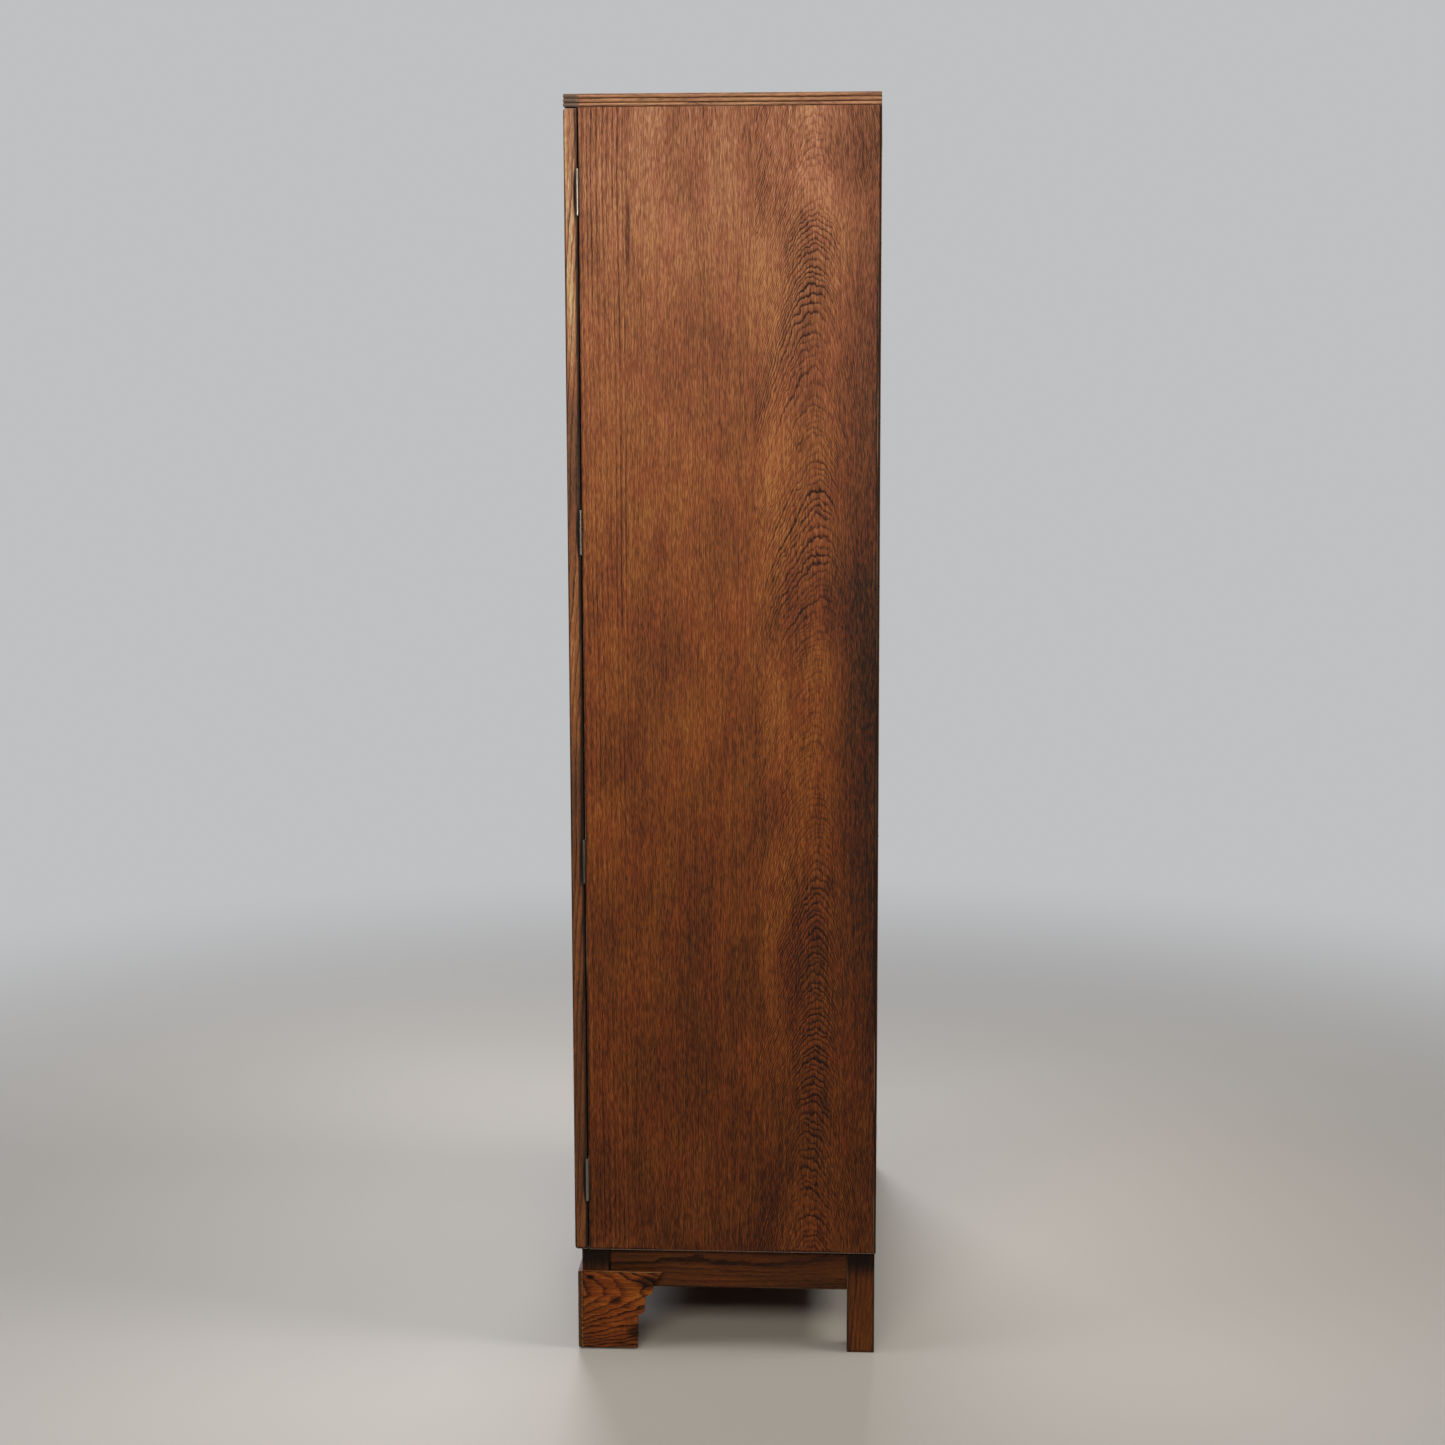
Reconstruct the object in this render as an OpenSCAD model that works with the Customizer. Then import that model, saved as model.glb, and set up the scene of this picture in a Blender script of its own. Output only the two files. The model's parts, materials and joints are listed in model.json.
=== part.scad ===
// Oak bookcase with a pair of full-height glazed doors, on a low stand with stepped bracket feet.
// Millimetres. X runs across the width, Y from front to back, Z up. The origin is under the middle
// of the whole object, at floor level. Inside the modules, Y is counted back from the doors' front faces.

/* [Overall] */
// Width over the side panels
case_w = 914; // [760:2:1100]
// Depth from the doors' front faces to the back
case_d = 438; // [350:2:540]
// Height from the floor to the top
case_h = 1800; // [1480:10:2160]

/* [Case] */
// Thickness of a side panel
side_t = 19; // [17:0.5:25]
// Thickness of the top board
top_t = 18; // [15:0.5:25]
// Thickness of the bottom panel
bottom_t = 19; // [16:0.5:25]
// Thickness of the plywood back
back_t = 3; // [3:0.5:9]
// Set-in of the back's edges from the sides' outer faces
back_inset = 0.5; // [0:0.5:3]
// Depth of the tongues and housings that join the case
joint_depth = 6; // [4:0.5:8]
// Thickness of the tongue on top of a side panel
tongue_t = 6; // [4:0.5:8]

/* [Top edge] */
// Number of reeds along the edge
reeds = 3; // [2:1:5]
// Rise of a reed above the quirks beside it
reed_rise = 1.3; // [0.5:0.1:2]
// Depth of the front lipping, front to back
lip_front_d = 20; // [14:1:30]
// Width of a side lipping
lip_side_w = 8; // [5:0.5:12]

/* [Shelves] */
// Number of shelves, one behind each glazing bar
shelf_count = 4; // [2:1:5]
// Thickness of a shelf
shelf_t = 19; // [15:0.5:25]
// Set-back of a shelf from the front edge of the sides
shelf_set_back = 26; // [20:1:60]
// Clearance of a shelf at each end and at its back
shelf_clear = 1; // [0.5:0.5:3]
// Radius of the rounded front corners of a shelf
shelf_nose_r = 4; // [1:0.5:7]
// Holes for each end of a shelf, in one column
holes_per_shelf = 5; // [1:2:7]
// Spacing of the holes
hole_pitch = 25; // [20:1:32]
// Depth of a hole
hole_depth = 10; // [8:0.5:12]
// Diameter of a shelf stud's shank
stud_d = 6; // [5:0.5:8]
// Diameter of a shelf stud's head
stud_head_d = 9; // [8:0.5:12]
// Length of a shelf stud's head
stud_head_l = 8; // [6:0.5:12]
// Distance of the stud columns from the shelf's front and back edges
stud_inset = 40; // [30:1:90]

/* [Stand] */
// Height of the stand
stand_h = 152; // [120:1:200]
// Side of a square leg
leg_w = 40; // [32:1:50]
// Set-in of the legs from the sides' outer faces
leg_inset = 6; // [0:0.5:12]
// Set-in of the rear legs from the back
leg_back_inset = 2; // [0:0.5:10]
// Height of a rail
rail_h = 60; // [40:1:90]
// Thickness of a rail
rail_t = 20; // [16:1:24]
// Set-back of a rail from the legs' outer faces
rail_set_back = 8; // [2:0.5:10]
// Length of a rail's tenon
rail_tenon_l = 14; // [10:1:16]
// Thickness of a rail's tenon
rail_tenon_t = 9; // [6:0.5:10]
// Shoulder above and below a rail's tenon
rail_shoulder = 8; // [5:1:12]
// Height of a corner block
block_h = 45; // [30:1:50]
// Reach of a corner block along each rail, from the leg
block_reach = 52; // [40:1:80]

/* [Bracket feet] */
// Thickness of a bracket board
bracket_t = 6; // [5:0.5:10]
// Set-back of the front bracket boards from the doors' front faces
bracket_set_back = 3.5; // [0:0.5:8]
// Height of a bracket's top edge above the floor
bracket_top = 118.5; // [100:0.5:140]
// Gap under a bracket
bracket_lift = 3; // [0:0.5:6]
// Width of a bracket at its foot
bracket_foot_w = 87; // [60:1:110]
// Height of the foot's straight edge, up to the lower ovolo
bracket_foot_h = 53.5; // [40:0.5:60]
// Radius of the lower ovolo
ovolo_low_r = 9.5; // [6:0.5:12]
// Radius of the upper ovolo
ovolo_high_r = 11.5; // [6:0.5:14]
// Height of the straight edge between the two ovolos
bracket_rise = 18.5; // [8:0.5:22]
// Height of the straight edge above the upper ovolo
bracket_neck = 7; // [2:0.5:12]
// Reach of the splayed tip beyond the upper ovolo
bracket_tip = 13.5; // [6:0.5:20]
// Lean of the two upright steps, from the vertical
bracket_lean = 1.2; // [0:0.1:3]

/* [Doors] */
// Thickness of a door
door_t = 18.5; // [17:0.5:25]
// Gap between a door's back and the front edge of the case
door_gap = 2.5; // [2:0.1:4]
// Gap between the two doors
meeting_gap = 2; // [1:0.5:4]
// Rise of the doors' bottom edge above the case's
door_rise = 0.6; // [0:0.2:4]
// Gap between the doors and the top board
door_top_gap = 1.6; // [1:0.2:4]
// Width of a hinge stile
hinge_stile_w = 52; // [44:1:70]
// Width of a meeting stile
meeting_stile_w = 46; // [44:1:60]
// Height of a door's top rail
door_top_rail = 58; // [44:1:90]
// Height of a door's bottom rail
door_bottom_rail = 78; // [50:1:110]
// Width of a glazing bar
bar_w = 22; // [20:0.5:30]
// Width of the bevel round each light
bevel_w = 4; // [1:0.5:6]
// Depth of the bevel round each light
bevel_d = 3.5; // [1:0.5:5]
// Width of the glazing rebate
rebate_w = 8; // [6:0.5:9]
// Thickness of the wood in front of the glass
rebate_front = 7.5; // [6.5:0.5:9]
// Radius of a door's upright front corners
door_corner_r = 2.5; // [1:0.5:4]
// Radius of a door's top and bottom front corners
door_end_r = 4.5; // [1:0.5:6]
// Length of the tenons on the doors' rails
door_tenon_l = 30; // [20:1:36]
// Thickness of the tenons on the doors' rails
door_tenon_t = 6; // [5:0.5:8]
// Shoulder beside each tenon on the doors' rails
door_shoulder = 12; // [10:1:18]
// Length of a glazing bar's stub tenon
bar_tenon_l = 7; // [5:0.5:10]

/* [Glass] */
// Thickness of a pane
glass_t = 3; // [2:0.5:4]
// Edge clearance of a pane in its rebate
glass_clear = 1; // [0.5:0.5:2]
// Depth of a glazing bead, front to back
bead_d = 6.5; // [5:0.5:8]
// Width of a glazing bead at its back edge
bead_back_w = 3; // [2:0.5:5]
// Gap at each mitre of the beads
mitre_gap = 0.1; // [0:0.05:0.3]
// Depth of the square part of a glazing bead
bead_square = 2; // [1:0.5:3]

/* [Hinges] */
// Number of hinges on a door
hinge_count = 4; // [2:1:5]
// Length of a hinge
hinge_l = 63.5; // [50:0.5:76]
// Width of a leaf from the pin's axis
leaf_w = 18; // [15:0.5:19]
// Thickness of a leaf
leaf_t = 1.3; // [1:0.1:1.6]
// Outside diameter of a knuckle
knuckle_d = 4.6; // [4.2:0.1:5.4]
// Number of knuckles
knuckles = 5; // [3:2:7]
// Diameter of a hinge pin
pin_d = 2.4; // [2:0.1:2.8]
// Running clearance round a pin, each side
pin_clear = 0.05; // [0.02:0.01:0.1]
// End clearance of each knuckle
knuckle_clear = 0.12; // [0.05:0.01:0.3]
// Clearance beside each knuckle, to the other leaf
knuckle_side_clear = 0.3; // [0.2:0.05:0.5]
// Distance of the pin's axis outside the case side
axis_out = 2; // [1.8:0.1:2.6]
// Height of the lowest hinge's middle above the door's bottom edge
hinge_low = 105; // [70:1:160]
// Distance of the highest hinge's middle below the door's top edge
hinge_high = 113; // [70:1:160]
// Distance of a leaf's screws from the pin's axis
screw_from_axis = 10.4; // [9:0.1:12]
// Spacing of a leaf's three screws
screw_pitch = 21.6; // [15:0.1:26]
// Diameter of a screw hole in a leaf
screw_d = 3.4; // [3:0.1:4]
// Diameter of a screw hole's countersink
screw_head_d = 6; // [5:0.1:7]

/* [Lock] */
// Height of the lock's middle above the floor
lock_z = 930; // [700:1:1200]
// Width of the lock, from the meeting edge
lock_w = 33; // [30:0.5:34]
// Height of the lock
lock_h = 56; // [50:1:70]
// Depth of the lock, front to back
lock_d = 12; // [11.5:0.5:12]
// Thickness of the lock's walls
lock_wall = 1.2; // [1:0.1:1.6]
// Distance of the keyhole from the meeting edge
backset = 19; // [18:0.5:20]
// Drop of the keyhole below the lock's middle
key_drop = 9; // [9:0.5:11]
// Height of the bolt above the lock's middle
bolt_up = 14; // [13:0.5:16]
// Height of the bolt's head
bolt_h = 9; // [7:0.5:10]
// Thickness of the bolt
bolt_t = 4.6; // [4:0.1:5]
// Throw of the bolt
bolt_throw = 8; // [5:0.5:8]
// Clearance round the bolt
bolt_clear = 0.15; // [0.1:0.05:0.3]
// Clearance between the bolt's talon and the sweep of the key's bit
talon_clear = 1; // [0.5:0.1:1.2]
// Width of the slack round the keyhole in the wood
wood_slack = 1; // [0.6:0.1:2]
// Depth of the mortise for the bolt in the other door
mortise_depth = 11; // [9:0.5:14]
// Clearance round the bolt in that mortise
mortise_clear = 1.5; // [1:0.1:2]
// Thickness of the strike plate
strike_t = 1.2; // [1:0.1:2]
// Height of the strike plate
strike_h = 40; // [34:1:50]
// Width of the strike plate, front to back
strike_w = 12; // [10:0.5:12]
// Clearance round the bolt in the strike plate
strike_clear = 0.6; // [0.4:0.1:1]
// Distance of the strike plate's screws from its middle
strike_screw = 14.4; // [12:0.1:16]
// Diameter of a small screw's hole in the strike plate and the bolt guides
small_screw_d = 3; // [2.4:0.1:3.2]
// Diameter of a small screw's countersink
small_head_d = 5; // [4:0.1:6]

/* [Key] */
// Diameter of the key's shank
shank_d = 5; // [4.6:0.1:5.4]
// Clearance round the shank in the keyhole
shank_clear = 0.1; // [0.05:0.05:0.3]
// Clearance round the bit in the keyhole
bit_clear = 0.3; // [0.2:0.05:0.5]
// Distance of the bow from the door's front face
bow_out = 8; // [6:0.5:12]
// Diameter of the collar on the shank
collar_d = 7.5; // [7:0.1:9]
// Thickness of the collar on the shank
collar_t = 1.6; // [1:0.1:3]
// Distance of the collar from the door's front face
collar_out = 4; // [3.5:0.1:5]
// Diameter of the pin that the key turns on
drill_pin_d = 2.6; // [2.2:0.1:2.8]
// Reach of the bit from the shank's axis
bit_reach = 8; // [7:0.5:8]
// Width of the bit
bit_w = 2.6; // [2:0.1:3]
// Outside diameter of the bow
bow_d = 18; // [15:0.5:22]
// Width of the bow's band
bow_band = 3.2; // [2.5:0.1:4]
// Thickness of the bow
bow_t = 3; // [2:0.1:4]

/* [Escutcheon] */
// Width of the escutcheon
plate_w = 15; // [13:0.5:20]
// Thickness of the escutcheon
plate_t = 1; // [0.6:0.1:1.6]
// Drop of its lower round end's middle below the keyhole's
plate_drop = 8; // [6:0.5:10]
// Slack round the keyhole in the escutcheon
plate_slack = 0.6; // [0.4:0.1:1]

/* [Knobs] */
// Height of the knobs above the lock's middle
knob_up = 78; // [60:1:120]
// Projection of a knob from the door
knob_out = 26; // [22:0.5:32]
// Diameter of a knob's head
knob_d = 27; // [22:0.5:32]
// Diameter of a knob's rose
rose_d = 22; // [16:0.5:26]
// Thickness of a knob's rose
rose_t = 2.5; // [2:0.5:4]
// Diameter of a knob's neck
neck_d = 9; // [8:0.5:12]
// Diameter of a knob's spigot
spigot_d = 5; // [4:0.5:6]
// Length of a knob's spigot
spigot_l = 10; // [6:0.5:12]

/* [Barrel bolts] */
// Diameter of a rod
rod_d = 6; // [5:0.5:7]
// Running clearance round a rod, each side
rod_clear = 0.05; // [0.02:0.01:0.1]
// Travel of a rod
rod_travel = 12; // [8:0.5:13]
// Gap between a withdrawn rod's end and the board that it enters
rod_gap = 2; // [1.2:0.2:4]
// Diameter of the hole that a rod enters
rod_hole_d = 7; // [6.5:0.1:8]
// Distance of a rod's axis behind the door
rod_out = 8; // [7:0.5:9]
// Distance of a rod's inner end inside its guide's
rod_start = 2; // [0:0.5:2]
// Length of a guide's base plate
guide_l = 68; // [60:1:90]
// Width of a guide's base plate
guide_w = 22; // [16:1:24]
// Thickness of a guide's base plate
guide_t = 1.5; // [1:0.1:2]
// Distance of a guide's screws from its base plate's edges
guide_screw_in = 3.4; // [3:0.1:3.4]
// Distance of a guide's base plate from the door's edge
guide_end = 12; // [9:1:20]

/* [Hidden] */
$fn = 64;
eps = 0.01;
// How far a cut runs past the face that it opens
over = 1;
// Space past the end of a stud, spigot or rod in its hole
end_clear = 1;
hands = [["right", 1], ["left", -1]];
door_parts = ["hinge_stile", "meeting_stile", "top_rail", "bottom_rail",
    "glazing_bars", "panes", "beads"];

// Finishes
oak = "#7d4322";
oak_dark = "#5f3018";
oak_end = "#4a2a18";
oak_pale = "#94602f";
brass = "#b08d45";
steel = "#8b8a86";
glass = [0.75, 0.85, 0.85, 0.35];

// The object's front, where Y = 0 of the modules lies in the whole frame
front_reach = max(knob_out, key_reach());
y_front = (front_reach - case_d) / 2;

// Case
half_w = case_w / 2;
case_front = door_t + door_gap;
case_back = case_d - back_t;
under_top = case_h - top_t;
floor_z = stand_h + bottom_t;
inner_half = half_w - side_t;

// Doors: the right-hand one, whose mirror image is the left-hand one
door_x0 = meeting_gap / 2;
door_z0 = stand_h + door_rise;
door_z1 = under_top - door_top_gap;
light_count = shelf_count + 1;
light_x0 = door_x0 + meeting_stile_w;
light_x1 = half_w - hinge_stile_w;
light_w = light_x1 - light_x0;
lights_h = door_z1 - door_z0 - door_top_rail - door_bottom_rail;
light_h = (lights_h - shelf_count * bar_w) / light_count;
web_w = bar_w - 2 * rebate_w;

// Shelves
shelf_l = 2 * (inner_half - shelf_clear);
shelf_y0 = case_front + shelf_set_back;
stud_rows = (holes_per_shelf - 1) / 2;

// Hinges
axis_x = half_w + axis_out;
leaf_gap = door_gap - leaf_t;
axis_y = door_t + leaf_gap / 2;
knuckle_l = hinge_l / knuckles;
leaf_start = knuckle_d / 2 + knuckle_side_clear;

// Lock and key
lock_y0 = door_t - lock_d;
key_x = door_x0 + backset;
key_z = lock_z - key_drop;
bolt_y = lock_y0 + lock_d / 2;
keyhole_d = shank_d + 2 * shank_clear;
talon_r = bit_reach + talon_clear;
knob_x = door_x0 + meeting_stile_w / 2;
knob_z = lock_z + knob_up;

// Stand
leg_x = half_w - leg_inset;
leg_y0 = bracket_set_back + bracket_t;
leg_y1 = case_d - leg_back_inset;
rail_z = stand_h - rail_h;
rail_x = leg_x - rail_set_back;
rail_y0 = leg_y0 + rail_set_back;
rail_y1 = leg_y1 - rail_set_back;

function light_z(i) = door_z0 + door_bottom_rail + i * (light_h + bar_w);
function bar_mid(i) = light_z(i) - bar_w / 2;
function shelf_z(i) = bar_mid(i) - shelf_t / 2;
function hinge_z(i) = door_z0 + hinge_low
    + i * (door_z1 - door_z0 - hinge_low - hinge_high) / (hinge_count - 1);
function key_reach() = bow_out + bow_d;
function arc(cx, cy, r, a0, a1, n = 8) =
    [for (i = [0:n]) let (a = a0 + (a1 - a0) * i / n) [cx + r * cos(a), cy + r * sin(a)]];

// ---- Helpers ----

// A box between two corners
module span(a, b) {
    translate(a) cube(b - a);
}

// Puts a piece in the whole frame: 1 for the right hand, -1 for its mirror image
module place(hand = 1) {
    translate([0, y_front, 0])
        if (hand > 0) children();
        else mirror([1, 0, 0]) children();
}

// A profile drawn in Y and Z, run along X from x0 to x1
module run_x(x0, x1) {
    translate([x0, 0, 0]) rotate([90, 0, 90]) linear_extrude(x1 - x0) children();
}

// A profile drawn in X and Z, run along Y from y0 to y1
module run_y(y0, y1) {
    translate([0, y1, 0]) rotate([90, 0, 0]) linear_extrude(y1 - y0) children();
}

// A profile drawn in X and Y, run up Z from z0 to z1
module run_z(z0, z1) {
    translate([0, 0, z0]) linear_extrude(z1 - z0) children();
}

// ---- Case ----

// The reeded edge at x = width, from the bottom up
function reeded_edge(width) =
    let (pitch = top_t / reeds,
         r = (pitch * pitch / 4 + reed_rise * reed_rise) / (2 * reed_rise),
         half_angle = asin(pitch / 2 / r))
    [for (i = [0:reeds - 1]) each arc(width - r, (i + 0.5) * pitch, r, -half_angle, half_angle, 6)];

// Edge section: flat at x = 0, with the reeds proud at x = width
module reeded_section(width) {
    polygon(concat([[0, 0]], reeded_edge(width), [[0, top_t]]));
}

// Edge section with the reeds on both sides, at x = -width and x = width
module twice_reeded_section(width) {
    edge = reeded_edge(width);
    polygon(concat(edge, [for (i = [len(edge) - 1:-1:0]) [-edge[i][0], edge[i][1]]]));
}

module side_panel() {
    color(oak) difference() {
        union() {
            span([inner_half, case_front, stand_h], [half_w, case_back, under_top]);
            span([inner_half, case_front + joint_depth, under_top - eps],
                [inner_half + tongue_t, case_back, under_top + joint_depth]);
        }
        span([inner_half - over, case_front - over, stand_h - over],
            [inner_half + joint_depth, case_back + over, floor_z]);
        shelf_holes();
    }
}

// Where the studs' axes stand, as [y, z]
module at_holes(rows) {
    for (i = [1:shelf_count])
        for (y = [shelf_y0 + stud_inset, case_back - stud_inset])
            for (k = rows)
                translate([inner_half, y, shelf_z(i) - stud_head_d / 2 + k * hole_pitch])
                    rotate([0, 90, 0]) children();
}

module shelf_holes() {
    at_holes([-stud_rows:stud_rows]) translate([0, 0, -over])
        cylinder(d = stud_d, h = hole_depth + over);
}

module shelf_studs() {
    color(brass) for (hand = [1, -1]) place(hand) at_holes([0]) {
        cylinder(d = stud_d, h = hole_depth - end_clear);
        translate([0, 0, -stud_head_l]) cylinder(d = stud_head_d, h = stud_head_l);
    }
}

module top_board() {
    color(oak_dark) difference() {
        span([lip_side_w - half_w, lip_front_d, under_top], [half_w - lip_side_w, case_d, case_h]);
        for (s = [0, 1]) mirror([s, 0, 0])
            span([inner_half, case_front + joint_depth, under_top - over],
                [inner_half + tongue_t, case_back, under_top + joint_depth]);
        translate([-knob_x, door_t + rod_out, under_top - over])
            cylinder(d = rod_hole_d, h = over + rod_travel + end_clear);
    }
}

module top_lipping_front() {
    color(oak_end) intersection() {
        run_x(-half_w, half_w) translate([lip_front_d, under_top]) mirror([1, 0])
            reeded_section(lip_front_d);
        run_y(0, lip_front_d) translate([0, under_top]) twice_reeded_section(half_w);
    }
}

module top_lipping_side() {
    color(oak) run_y(lip_front_d, case_d) translate([half_w - lip_side_w, under_top])
        reeded_section(lip_side_w);
}

module bottom_panel() {
    color(oak_dark) difference() {
        span([-inner_half - joint_depth, case_front, stand_h],
            [inner_half + joint_depth, case_back, floor_z]);
        translate([-knob_x, door_t + rod_out, floor_z - rod_travel - end_clear])
            cylinder(d = rod_hole_d, h = rod_travel + end_clear + over);
    }
}

module back_panel() {
    color(oak_end) span([back_inset - half_w, case_back, stand_h],
        [half_w - back_inset, case_d, under_top]);
}

module shelf(i) {
    y1 = case_back - shelf_clear;
    r = shelf_nose_r;
    color(oak) translate([0, 0, shelf_z(i)]) run_x(-shelf_l / 2, shelf_l / 2)
        polygon(concat(arc(shelf_y0 + r, r, r, 270, 180), arc(shelf_y0 + r, shelf_t - r, r, 180, 90),
            [[y1, shelf_t], [y1, 0]]));
}

// ---- Stand ----

// The tenons of the rails, which are also the mortises in the legs; front corner, right hand
module side_tenon(y0, y1) {
    x = rail_x - rail_t / 2;
    span([x - rail_tenon_t / 2, y0, rail_z + rail_shoulder],
        [x + rail_tenon_t / 2, y1, stand_h - rail_shoulder]);
}

module cross_tenon(x0, x1, y) {
    span([x0, y - rail_tenon_t / 2, rail_z + rail_shoulder],
        [x1, y + rail_tenon_t / 2, stand_h - rail_shoulder]);
}

module leg_front() {
    color(oak_dark) difference() {
        span([leg_x - leg_w, leg_y0, 0], [leg_x, leg_y0 + leg_w, stand_h]);
        side_tenon(leg_y0 + leg_w - rail_tenon_l, leg_y0 + leg_w + over);
        cross_tenon(leg_x - leg_w - over, leg_x - leg_w + rail_tenon_l, rail_y0 + rail_t / 2);
    }
}

module leg_rear() {
    color(oak_dark) difference() {
        span([leg_x - leg_w, leg_y1 - leg_w, 0], [leg_x, leg_y1, stand_h]);
        side_tenon(leg_y1 - leg_w - over, leg_y1 - leg_w + rail_tenon_l);
        cross_tenon(leg_x - leg_w - over, leg_x - leg_w + rail_tenon_l, rail_y1 - rail_t / 2);
    }
}

module rail_side() {
    color(oak_dark) {
        span([rail_x - rail_t, leg_y0 + leg_w, rail_z], [rail_x, leg_y1 - leg_w, stand_h]);
        side_tenon(leg_y0 + leg_w - rail_tenon_l, leg_y1 - leg_w + rail_tenon_l);
    }
}

module rail_cross(y) {
    inner = leg_x - leg_w;
    color(oak_dark) {
        span([-inner, y - rail_t / 2, rail_z], [inner, y + rail_t / 2, stand_h]);
        cross_tenon(-inner - rail_tenon_l, inner + rail_tenon_l, y);
    }
}

// Pentagonal glue block that wraps a leg's inner corner, drawn from that corner
module corner_block() {
    inset = leg_w - rail_set_back - rail_t;
    run_z(stand_h - block_h, stand_h)
        polygon([[0, 0], [inset, 0], [inset, block_reach], [-block_reach, -inset], [0, -inset]]);
}

module corner_blocks() {
    color(oak_pale) for (hand = [1, -1]) place(hand) {
        translate([leg_x - leg_w, leg_y0 + leg_w, 0]) corner_block();
        translate([leg_x - leg_w, leg_y1 - leg_w, 0]) mirror([0, 1, 0]) corner_block();
    }
}

// Outline of a bracket foot: u counts from the corner's front or outer face, v from the floor
module bracket_section(u0) {
    u1 = bracket_foot_w + bracket_lean;
    v1 = bracket_foot_h + ovolo_low_r;
    u2 = u1 + ovolo_low_r + bracket_lean;
    v2 = v1 + bracket_rise + ovolo_high_r;
    u3 = u2 + ovolo_high_r;
    polygon(concat([[u0, bracket_lift], [bracket_foot_w, bracket_lift]],
        arc(u1, v1, ovolo_low_r, 270, 360), arc(u2, v2, ovolo_high_r, 270, 360),
        [[u3, v2 + bracket_neck], [u3 + bracket_tip, bracket_top], [u0, bracket_top]]));
}

module bracket_side() {
    color(oak_pale) translate([0, bracket_set_back, 0])
        run_x(leg_x, leg_x + bracket_t) bracket_section(bracket_t);
}

module bracket_front() {
    r = bracket_t / 3;
    x1 = leg_x + bracket_t;
    y0 = bracket_set_back;
    color(oak_pale) intersection() {
        translate([x1, 0, 0]) mirror([1, 0, 0]) run_y(y0, y0 + bracket_t) bracket_section(0);
        run_z(0, stand_h) polygon(concat(arc(x1 - r, y0 + r, r, 270, 360, 6),
            [[x1, y0 + bracket_t], [0, y0 + bracket_t], [0, y0]]));
    }
}

// ---- Doors, right hand ----

// The whole door's outer form: upright front corners and the top and bottom front corners rounded
module door_blank() {
    r = door_corner_r;
    e = door_end_r;
    intersection() {
        run_z(door_z0, door_z1) polygon(concat(arc(door_x0 + r, r, r, 180, 270),
            arc(half_w - r, r, r, 270, 360), [[half_w, door_t], [door_x0, door_t]]));
        run_x(door_x0, half_w) polygon(concat(arc(e, door_z0 + e, e, 270, 180),
            arc(e, door_z1 - e, e, 180, 90), [[door_t, door_z1], [door_t, door_z0]]));
    }
}

// What each light takes out of the frame: the opening, the rebate behind and the bevel in front
module light_cut(i) {
    z0 = light_z(i);
    z1 = z0 + light_h;
    r = rebate_w;
    b = bevel_w * (bevel_d + over) / bevel_d;
    span([light_x0, -over, z0], [light_x1, door_t + over, z1]);
    span([light_x0 - r, rebate_front, z0 - r], [light_x1 + r, door_t + over, z1 + r]);
    polyhedron(
        [[light_x0 - b, -over, z0 - b], [light_x1 + b, -over, z0 - b],
         [light_x1 + b, -over, z1 + b], [light_x0 - b, -over, z1 + b],
         [light_x0, bevel_d, z0], [light_x1, bevel_d, z0],
         [light_x1, bevel_d, z1], [light_x0, bevel_d, z1]],
        [[3, 2, 1, 0], [4, 5, 6, 7], [1, 5, 4, 0], [2, 6, 5, 1], [3, 7, 6, 2], [0, 4, 7, 3]]);
}

module all_lights() {
    for (i = [0:shelf_count]) light_cut(i);
}

// Tenons of the top and bottom rails, and the bars' stubs; from x0 to x1
module frame_tenons(x0, x1) {
    y0 = rebate_front;
    for (z = [[door_z0 + door_shoulder, door_z0 + door_bottom_rail - door_shoulder],
              [door_z1 - door_top_rail + door_shoulder, door_z1 - door_shoulder]])
        span([x0, y0, z[0]], [x1, y0 + door_tenon_t, z[1]]);
}

module bar_tenons(i, x0, x1) {
    span([x0, rebate_front, bar_mid(i) - web_w / 2],
        [x1, rebate_front + door_tenon_t, bar_mid(i) + web_w / 2]);
}

module stile_mortises(x0, x1, bar_x0, bar_x1) {
    frame_tenons(x0, x1);
    for (i = [1:shelf_count]) bar_tenons(i, bar_x0, bar_x1);
}

module hinge_stile() {
    color(oak) difference() {
        intersection() {
            door_blank();
            span([light_x1, -over, door_z0 - over], [half_w + over, door_t + over, door_z1 + over]);
        }
        all_lights();
        stile_mortises(light_x1 - over, light_x1 + door_tenon_l,
            light_x1 - over, light_x1 + bar_tenon_l);
        for (i = [0:hinge_count - 1])
            span([axis_x - leaf_w, door_t - leaf_t, hinge_z(i) - hinge_l / 2],
                [half_w + over, door_t + over, hinge_z(i) + hinge_l / 2]);
    }
}

module meeting_stile_blank() {
    difference() {
        intersection() {
            door_blank();
            span([0, -over, door_z0 - over], [light_x0, door_t + over, door_z1 + over]);
        }
        all_lights();
        stile_mortises(light_x0 - door_tenon_l, light_x0 + over,
            light_x0 - bar_tenon_l, light_x0 + over);
        translate([knob_x, -over, knob_z]) rotate([-90, 0, 0])
            cylinder(d = spigot_d, h = over + spigot_l + end_clear);
    }
}

module right_meeting_stile() {
    color(oak) difference() {
        meeting_stile_blank();
        lock_pocket();
        keyhole(-over, lock_y0 + over, wood_slack);
    }
}

module left_meeting_stile() {
    color(oak) difference() {
        meeting_stile_blank();
        strike_recess();
    }
}

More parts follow.
